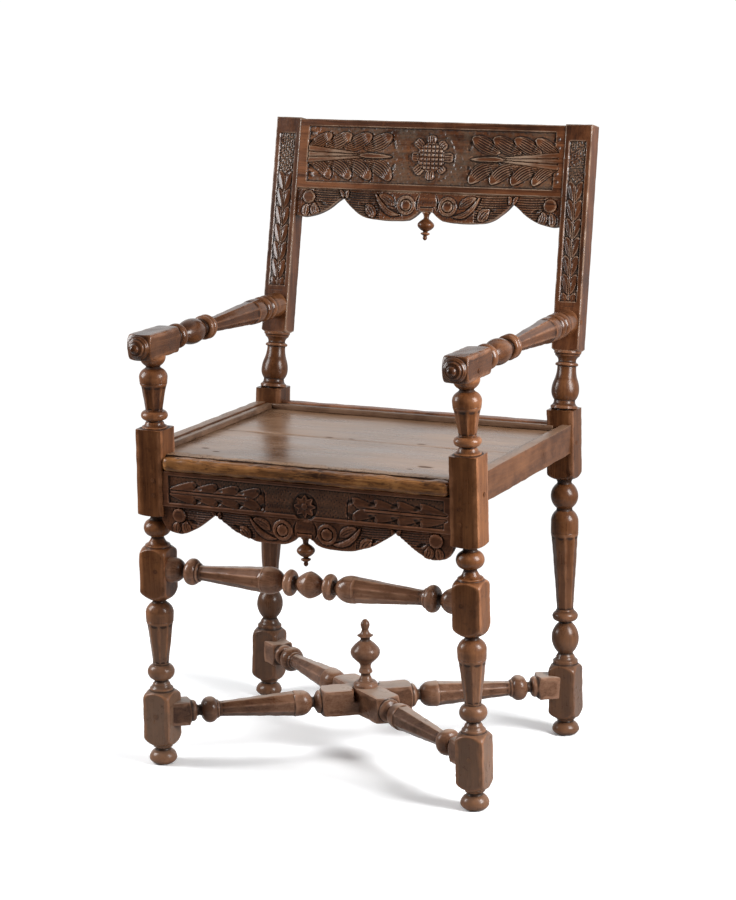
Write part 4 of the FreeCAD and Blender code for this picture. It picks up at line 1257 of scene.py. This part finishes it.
brown = ((0.042, 0.0125, 0.0040), (0.110, 0.0375, 0.0120), (0.210, 0.081, 0.029))
greyed = ((0.058, 0.024, 0.012), (0.128, 0.058, 0.031), (0.215, 0.110, 0.065))
seat_tones = ((0.130, 0.065, 0.034), (0.210, 0.115, 0.064), (0.290, 0.172, 0.105))
nosing_tones = ((0.030, 0.010, 0.004), (0.160, 0.058, 0.017), (0.380, 0.165, 0.052))
rail_tones = ((0.040, 0.0120, 0.0048), (0.118, 0.0400, 0.0155), (0.200, 0.076, 0.032))
crest_tones = ((0.032, 0.0105, 0.0045), (0.100, 0.0330, 0.0120), (0.190, 0.070, 0.027))
edge_tones = ((0.022, 0.009, 0.005), (0.060, 0.027, 0.014), (0.135, 0.072, 0.043))
# pale edge colours below: rubbed wear and painted highlight together
worn_and_highlit_edge = (0.290, 0.195, 0.135)
worn_and_highlit_strip = (0.200, 0.120, 0.075)

upright_walnut = walnut("upright_walnut", along_z, shaded(brown, 1.10), low=0.75)
upright_walnut_right = walnut("upright_walnut_right", along_z, brown, shift=(0.31, 0.17, 0.4),
                              low=0.5)
# A darker copy of the post walnut for the rear posts: painted shade, as less light reaches the back
rear_walnut = walnut("rear_walnut", along_z, shaded(brown, 0.64), shift=(0.11, 0.27, 0.7),
                     low=0.28)
back_walnut = walnut("back_walnut", along_z, shaded(crest_tones, 0.8), dust=0.6, rub=0.6,
                     grime_and_shade=0.7, shift=(0.21, 0.47, 0.1), worn=worn_and_highlit_edge, keen=0.3, coat=0.35)
arm_walnut = walnut("arm_walnut", along_y, shaded(brown, 0.72), shift=(0.1, 0.2, 0.3),
                    rough=0.28, coat=0.25)
# top: painted sheen on the up-facing faces of the front stretcher
stretcher_walnut = walnut("stretcher_walnut", along_x, shaded(greyed, 1.70),
                          shift=(0.4, 0.1, 0.2), coat=0.25, top=(0.460, 0.290, 0.200))
carved_care = {"rough": 0.30, "dust": 0.5, "worn": worn_and_highlit_edge, "figure_share": 1.5, "coat": 0.30}
crest_walnut = walnut("crest_walnut", along_x, crest_tones, grime_and_shade=0.85, rub=0.95,
                      shift=(0.2, 0.5, 0.1), keen=0.32, **carved_care)
valance_walnut = walnut("valance_walnut", along_x, crest_tones, grime_and_shade=0.95, rub=0.8,
                        shift=(0.7, 0.1, 0.4), keen=0.42, **carved_care)
rail_walnut = walnut("rail_walnut", along_x, rail_tones, rough=0.42, grime_and_shade=0.8, dust=0.25,
                     rub=0.45, shift=(0.5, 0.3, 0.4), coat=0.12)
# top: painted sheen on the top of the side rails
side_walnut = walnut("side_walnut", along_y, shaded(brown, 0.64), rough=0.38,
                     shift=(0.2, 0.2, 0.6), dust=0.2, grime_and_shade=0.3, rub=0.2, mottle=0.25,
                     top=(0.215, 0.135, 0.088))
strip_care = {"rough": 0.36, "shift": (0.5, 0.2, 0.6), "rub": 0.45, "worn": worn_and_highlit_strip,
              "figure_share": 1.6}
strip_walnut = walnut("strip_walnut", along_x, edge_tones, **strip_care)
# top: painted sheen on the top of the side strips
strip_walnut_side = walnut("strip_walnut_side", along_y, edge_tones, top=(0.165, 0.100, 0.062),
                           **strip_care)
# left: the left part of the nosing painted lighter, as painted light from the left
nosing_walnut = walnut("nosing_walnut", along_x, nosing_tones, rough=0.34, grime_and_shade=0.6, rub=0.3,
                       shift=(0.6, 0.4, 0.2), mottle=0.80, left=0.50, figure_share=1.8,
                       smear_size=0.0040)
peg_walnut = walnut("peg_walnut", along_y, shaded(brown, 0.95), rough=0.45, coat=0.0, low=0.5)


# ---- putting the chair together

def ready(piece, finish, node):
    if finish:
        piece.data.materials.clear()
        piece.data.materials.append(finish)
    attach(piece, "root")
    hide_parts(node)
    return piece


def fitted(piece, place, finish, slot, node, seed, **care):
    """Ages a piece, sets it in its place and gives it its finish."""
    aged(piece, seed, **care)
    settle(piece, place)
    return ready(piece, finish, node)


def stood(piece):
    """Keeps a foot from reaching below the floor."""
    spots = where(piece)
    spots[:, 2] = np.maximum(spots[:, 2], 0)
    move_to(piece, spots)


def turned_flat(axis):
    return Matrix.Rotation(math.pi / 2, 4, axis)


def into_metres(x, y):
    return tuple(into_row @ Vector((x, y, seat_top)) / METRE)


sides = (("left", -1), ("right", 1))
level = Matrix.Identity(4)
turned, carved, seat = "turned_walnut", "carved_walnut", "seat_walnut"
carved_wear = {"sag": 0.12, "angle": 45}
strip_wear = {"sag": 0.2, "wear": 0.3}

upright = post("front_post", front_top, front_sections, 5)
for (name, side), finish in zip(sides, (upright_walnut, upright_walnut_right)):
    piece = copied(upright, "post_front_" + name)
    place = turned_to((-side * front_splay, -front_lean, 1),
                      (side * post_spacing / 2, 0, front_top))
    fitted(piece, place, finish, turned, "front_post_" + name, 40 + side)
    stood(piece)

leg, vase, panel = post("rear_leg", rear_top, rear_sections), back_vase(), back_block()
for name, side in sides:
    parts = [copied(one, one.name + "_" + name) for one in (leg, vase, panel)]
    knee = (side * post_spacing / 2, post_depth, rear_top)
    straight = turned_to((-side * rear_splay, rear_lean, 1), knee)
    raked = turned_to((-side * back_inward, back_rake, 1), knee)
    for part, wood, place, seed, care in zip(
            parts, (rear_walnut, rear_walnut, back_walnut), (straight, raked, raked),
            (50, 54, 58), ({}, {}, panel_wear)):
        aged(part, seed + side, **care)
        settle(part, place)
        part.data.materials.append(wood)
    piece = joined("post_rear_" + name, parts)
    stood(piece)
    ready(piece, None, "rear_post_" + name)

rest = arm()
for name, side in sides:
    across = side * (post_spacing / 2 - front_splay * (arm_height - front_top))
    place = Matrix.Translation((across, arm_block_length - arm_front, arm_height))
    fitted(copied(rest, "arm_rest_" + name), place @ Matrix.Rotation(-math.pi / 2, 4, "X"),
           arm_walnut, turned, "arm_" + name, 60 + side)

ahead = front_lean * (front_top - front_stretcher_height)
fitted(front_stretcher(), Matrix.Translation((0, ahead, front_stretcher_height)) @ turned_flat("Y"),
       stretcher_walnut, turned, "front_stretcher", 71)

cross, heading, middle_y = cross_stretcher()
for name, way, seed in (("under", 1, 81), ("over", -1, 82)):
    piece = copied(cross, "stretcher_cross_" + name)
    aged(piece, seed)
    if name == "under":
        # the other bar crosses at twice the heading, along local Z and across local Y
        spots = where(piece)
        turn = math.radians(2 * heading)
        off = np.abs(spots[:, 2] * math.sin(turn) - spots[:, 1] * math.cos(turn))
        housing = (off < cross_block / 2 - housing_ease) & (spots[:, 0] < -housing_depth)
        spots[housing, 0] = -housing_depth
        move_to(piece, spots)
    lie = math.radians(heading) * way
    spin = Matrix.Rotation(lie, 4, "Z") @ turned_flat("Y")
    settle(piece, Matrix.Translation((0, middle_y, cross_height)) @ spin)
    # top: painted sheen on the up-facing faces of the cross stretchers
    wood = walnut("cross_walnut_" + name, (0, math.pi / 2, -lie), greyed,
                  shift=(0.3 * way, 0.2, 0.1), top=(0.330, 0.240, 0.185))
    ready(piece, wood, "cross_stretcher_" + name)

finial_walnut = walnut("finial_walnut", along_z, shaded(greyed, 0.9), shift=(0.1, 0.9, 0.3))
rows = scaled(finial_share, 0, finial_height, finial_radius)
fitted(spun("finial", outline(rows, 0.8, 2.0)),
       Matrix.Translation((0, middle_y, cross_height + cross_block / 2)),
       finial_walnut, turned, "cross_finial", 91, sag=0.12)

# crest and valances, and the drop under each; the back is raked
lean = Matrix.Rotation(-math.atan(back_rake), 4, "X")
rake = Matrix.Translation((0, post_depth, rear_top)) @ lean
drop = spun("drop", outline(scaled(drop_share, 0, drop_length, drop_radius), 0.7, 1.6))
valances = {
    "crest": (rake, crest_edge_share, crest_low, valance_drop, crest_face + crest_sink),
    "front": (level, front_edge_share, front_low, front_valance_drop, front_face + front_sink)}


def scalloped(name, lively, finish, seed, **care):
    place, edge, top, depth, face = valances[name]
    fitted(valance("valance_" + name, edge, top, depth, face, lively), place, finish, carved,
           name + "_valance", seed, **care, **carved_wear)


fitted(crest_rail(), rake, crest_walnut, carved, "crest_rail", 101,
       wear=0.08, passes=9, reach=0.42, **carved_wear)
scalloped("crest", 1.0, valance_walnut, 103, wear=0.1, passes=9, reach=0.42)
for name, finish, seed in (("crest", upright_walnut, 105), ("front", upright_walnut_right, 106)):
    place, edge, top, depth, face = valances[name]
    hang = Matrix.Translation((0, face + valance_thick / 2, top - edge[-1][1] * depth))
    fitted(copied(drop, "drop_" + name), place @ hang @ Matrix.Rotation(math.pi, 4, "X"),
           finish, turned, name + "_drop", seed, sag=0.08)
fitted(front_rail(), level, rail_walnut, carved, "front_seat_rail", 111,
       wear=0.25, passes=9, reach=0.5, **carved_wear)
scalloped("front", 0.8, rail_walnut, 113, wear=0.25, passes=10, reach=0.5)
for one in (upright, leg, vase, panel, rest, cross, drop):
    bpy.data.objects.remove(one)

# seat frame and strips
side_face = post_spacing / 2 + half - side_rail_setback
side_inner = side_face - side_rail_thick
strip_inner = side_inner - strip_width
rail_low = rail_top - side_rail_height
rear_inner = post_depth - half + rear_rail_setback
rail_reach = half - rail_entry
for name, side in sides:
    near, far = sorted((side * side_face, side * side_inner))
    piece = board("rail_side_" + name, (near, rail_reach, rail_low),
                  (far, post_depth - rail_reach, rail_top), 1.5)
    fitted(piece, level, side_walnut, turned, "side_seat_rail_" + name, 120 + side,
           sag=0.35, wear=0.6)
    near, far = sorted((side * side_inner, side * strip_inner))
    piece = board("strip_side_" + name, (near + 0.4, half, seat_top),
                  (far - 0.4, rear_inner, rail_top - strip_below_rail[name]), 1.8)
    fitted(piece, level, strip_walnut_side, seat, "seat_strip_" + name, 124 + side, **strip_wear)
rail_end = post_spacing / 2 - rail_reach
piece = board("rail_rear", (-rail_end, rear_inner, rail_low),
              (rail_end, rear_inner + side_rail_thick, rail_top), 1.5)
fitted(piece, level, rail_walnut, turned, "rear_seat_rail", 130, sag=0.3, wear=0.6)
piece = board("strip_rear", (-strip_inner, rear_inner - strip_width, seat_top),
              (strip_inner, rear_inner - 0.6, rail_top - strip_below_rail["left"]), 1.8)
fitted(piece, level, strip_walnut, seat, "seat_strip_rear", 131, **strip_wear)

# planks, with a knot and smaller marks: across, back, size in metres and depth of the stain
marks = [(into_metres(across, back), size, depth) for across, back, size, depth in (
    (165, 62, 0.0075, 0.75), (-205, 60, 0.0040, 0.8), (-178, 44, 0.0034, 0.7),
    (-60, 204, 0.0042, 0.6), (-22, 206, 0.0034, 0.6), (96, 210, 0.0050, 0.6),
    (150, 40, 0.0030, 0.6))]
plank_walnut = worn_seat("plank_walnut", seat_tones, into_metres(0, nosing_back)[1], marks)
for name, near, far, seed in (("front", nosing_back + 0.2, plank_seam + 0.1, 140),
                              ("back", plank_seam + 0.25, rear_inner, 141)):
    piece = board("plank_" + name, (-side_inner, near, seat_under), (side_inner, far, seat_top),
                  0.5, 12.0)
    spots = where(piece)
    worn = waves(spots * (0.6, 1.0, 1.0), 70, seed) * 0.45
    spots[:, 2] += np.minimum(worn, 0.3) * (spots[:, 2] > seat_under + 2)
    move_to(piece, spots)
    open_all(piece)
    close()
    bpy.ops.object.shade_smooth_by_angle(angle=math.radians(40))
    settle(piece, level)
    ready(piece, plank_walnut, "seat_plank_" + name)

# nosing: round in front, square where it meets the plank, chipped, and worn down by use
inner_post = post_spacing / 2 - half + front_splay * (front_top - seat_top)
piece = board("nosing", (-inner_post, -seat_front, seat_under),
              (inner_post, nosing_back, seat_top), nosing_round, 2.2, 7)
spots = where(piece)
for height, way in ((seat_top - nosing_round, 1), (seat_under + nosing_round, -1)):
    behind = spots[:, 1] - (nosing_back - nosing_round)
    beyond = way * (spots[:, 2] - height)
    corner = (behind > 0) & (beyond > 0)
    grow = (np.hypot(behind, beyond) / np.maximum(np.maximum(behind, beyond), 0.01))[corner]
    spots[corner, 1] += behind[corner] * (grow - 1)
    spots[corner, 2] += way * beyond[corner] * (grow - 1)
grain = (1, 0.3, 0.3)
chips = np.clip(0.3 + waves(spots * grain, 26, 7) + 0.5 * waves(spots, 7, 8), 0, 1.6)
upper = (np.clip((spots[:, 2] - seat_top + 7) / 7, 0, 1)
         * np.clip((nosing_back - 1 - spots[:, 1]) / 9, 0, 1))
spots[:, 2] -= chips * upper * 1.1
sunken = np.clip(1.3 + 0.6 * waves(spots * grain, 34, 9), 0.6, 2.2)
spots[:, 2] -= sunken * np.clip((spots[:, 2] - seat_top + 10) / 10, 0, 1)
worn_end = (np.clip((np.abs(spots[:, 0]) - inner_post + 12) / 12, 0, 1) ** 2
            * np.clip((-spots[:, 1] - 12) / 12, 0, 1))
spots[:, 1] += 4.0 * worn_end
move_to(piece, spots)
fitted(piece, level, nosing_walnut, seat, "seat_nosing", 150,
       sag=0.5, wear=1.0, angle=60, passes=12)

for node in [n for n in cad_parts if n.startswith("pegs")]:
    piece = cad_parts[node]
    piece.data.materials.clear()
    piece.data.materials.append(peg_walnut)


# ---- camera and studio

eye_spot = (1.57669, -3.44562, 1.29612)
eye_yaw, eye_pitch, eye_roll = 0.4294, 0.2106, -0.0095
film_width = 36.0
lens_length = 98.09
lamp_width, lamp_height = 0.6, 0.9
lit_height = 0.45


def light(name, spot, power):
    data = bpy.data.lights.new(name, "AREA")
    data.shape = "RECTANGLE"
    data.size, data.size_y = lamp_width, lamp_height
    data.energy = power
    lamp = bpy.data.objects.new(name, data)
    bpy.context.scene.collection.objects.link(lamp)
    lamp.location = spot
    aim = Vector((0, 0, lit_height)) - Vector(spot)
    lamp.rotation_euler = aim.to_track_quat("-Z", "Y").to_euler()


def camera():
    flat = math.cos(eye_pitch)
    ahead = Vector((-math.sin(eye_yaw) * flat, math.cos(eye_yaw) * flat, -math.sin(eye_pitch)))
    right = Vector((math.cos(eye_yaw), math.sin(eye_yaw), 0))
    up = right.cross(ahead)
    across = math.cos(eye_roll) * right + math.sin(eye_roll) * up
    upward = -math.sin(eye_roll) * right + math.cos(eye_roll) * up
    data = bpy.data.cameras.new("camera")
    data.sensor_width = film_width
    data.lens = lens_length
    data.clip_end = 200
    eye = bpy.data.objects.new("camera", data)
    bpy.context.scene.collection.objects.link(eye)
    turn = Matrix((across, upward, -ahead)).transposed().to_4x4()
    eye.matrix_world = Matrix.Translation(eye_spot) @ turn
    bpy.context.scene.camera = eye


def studio():
    """A pale floor, white all round to the eye, and dark in front for what the wood mirrors."""
    bpy.ops.object.select_all(action="DESELECT")
    bpy.ops.mesh.primitive_plane_add(size=160)
    floor = named("studio_floor")
    pale = Finish("studio_white")
    place = pale.add("ShaderNodeTexCoord", None, None, 3)
    reach = pale.add("ShaderNodeVectorMath", {"operation": "LENGTH"}, {0: place}, 1)
    behind = place.part(1).between(-1.2, 1.4)
    seen = pale.add("ShaderNodeLightPath", None, None, 0)
    lit = pale.blend(reach.between(0.38, 1.0), (1.19, 1.205, 1.22), (1.9, 1.9, 1.9))
    tone = pale.blend(seen, (0.50, 0.50, 0.50), lit)
    near_floor = pale.add("ShaderNodeBsdfDiffuse", None, {"Color": tone})
    strength = behind * 0.30 + 0.10
    glow = pale.add("ShaderNodeEmission", None,
                    {"Color": strength + (1.05 - strength) * seen, "Strength": 1.0})
    mixed = pale.add("ShaderNodeMixShader", None,
                     {0: reach.between(0.60, 1.35), 1: near_floor, 2: glow})
    pale.add("ShaderNodeOutputMaterial", None, {"Surface": mixed})
    floor.data.materials.append(pale.material)

    world = bpy.data.worlds.new("studio")
    bpy.context.scene.world = world
    world.use_nodes = True
    sky = Finish.__new__(Finish)
    sky.tree = world.node_tree
    sky.tree.nodes.clear()
    way = sky.add("ShaderNodeTexCoord", None, None, 0)
    soft = way.part(1).between(-0.2, 0.9) * 0.80 + 0.12
    seen = sky.add("ShaderNodeLightPath", None, None, 0)
    scattered = sky.add("ShaderNodeLightPath", None, None, 2)
    strength = soft * (1 - scattered * 0.4)
    glow = sky.add("ShaderNodeBackground", None,
                   {"Color": (1, 1, 1), "Strength": strength + (1 - strength) * seen})
    sky.add("ShaderNodeOutputWorld", None, {"Surface": glow})
    light("right_window", (1.45, -0.22, 1.12), 42)
    light("left_window", (-1.40, -0.60, 1.12), 26)


camera()
studio()
bpy.context.scene.view_settings.view_transform = "Standard"
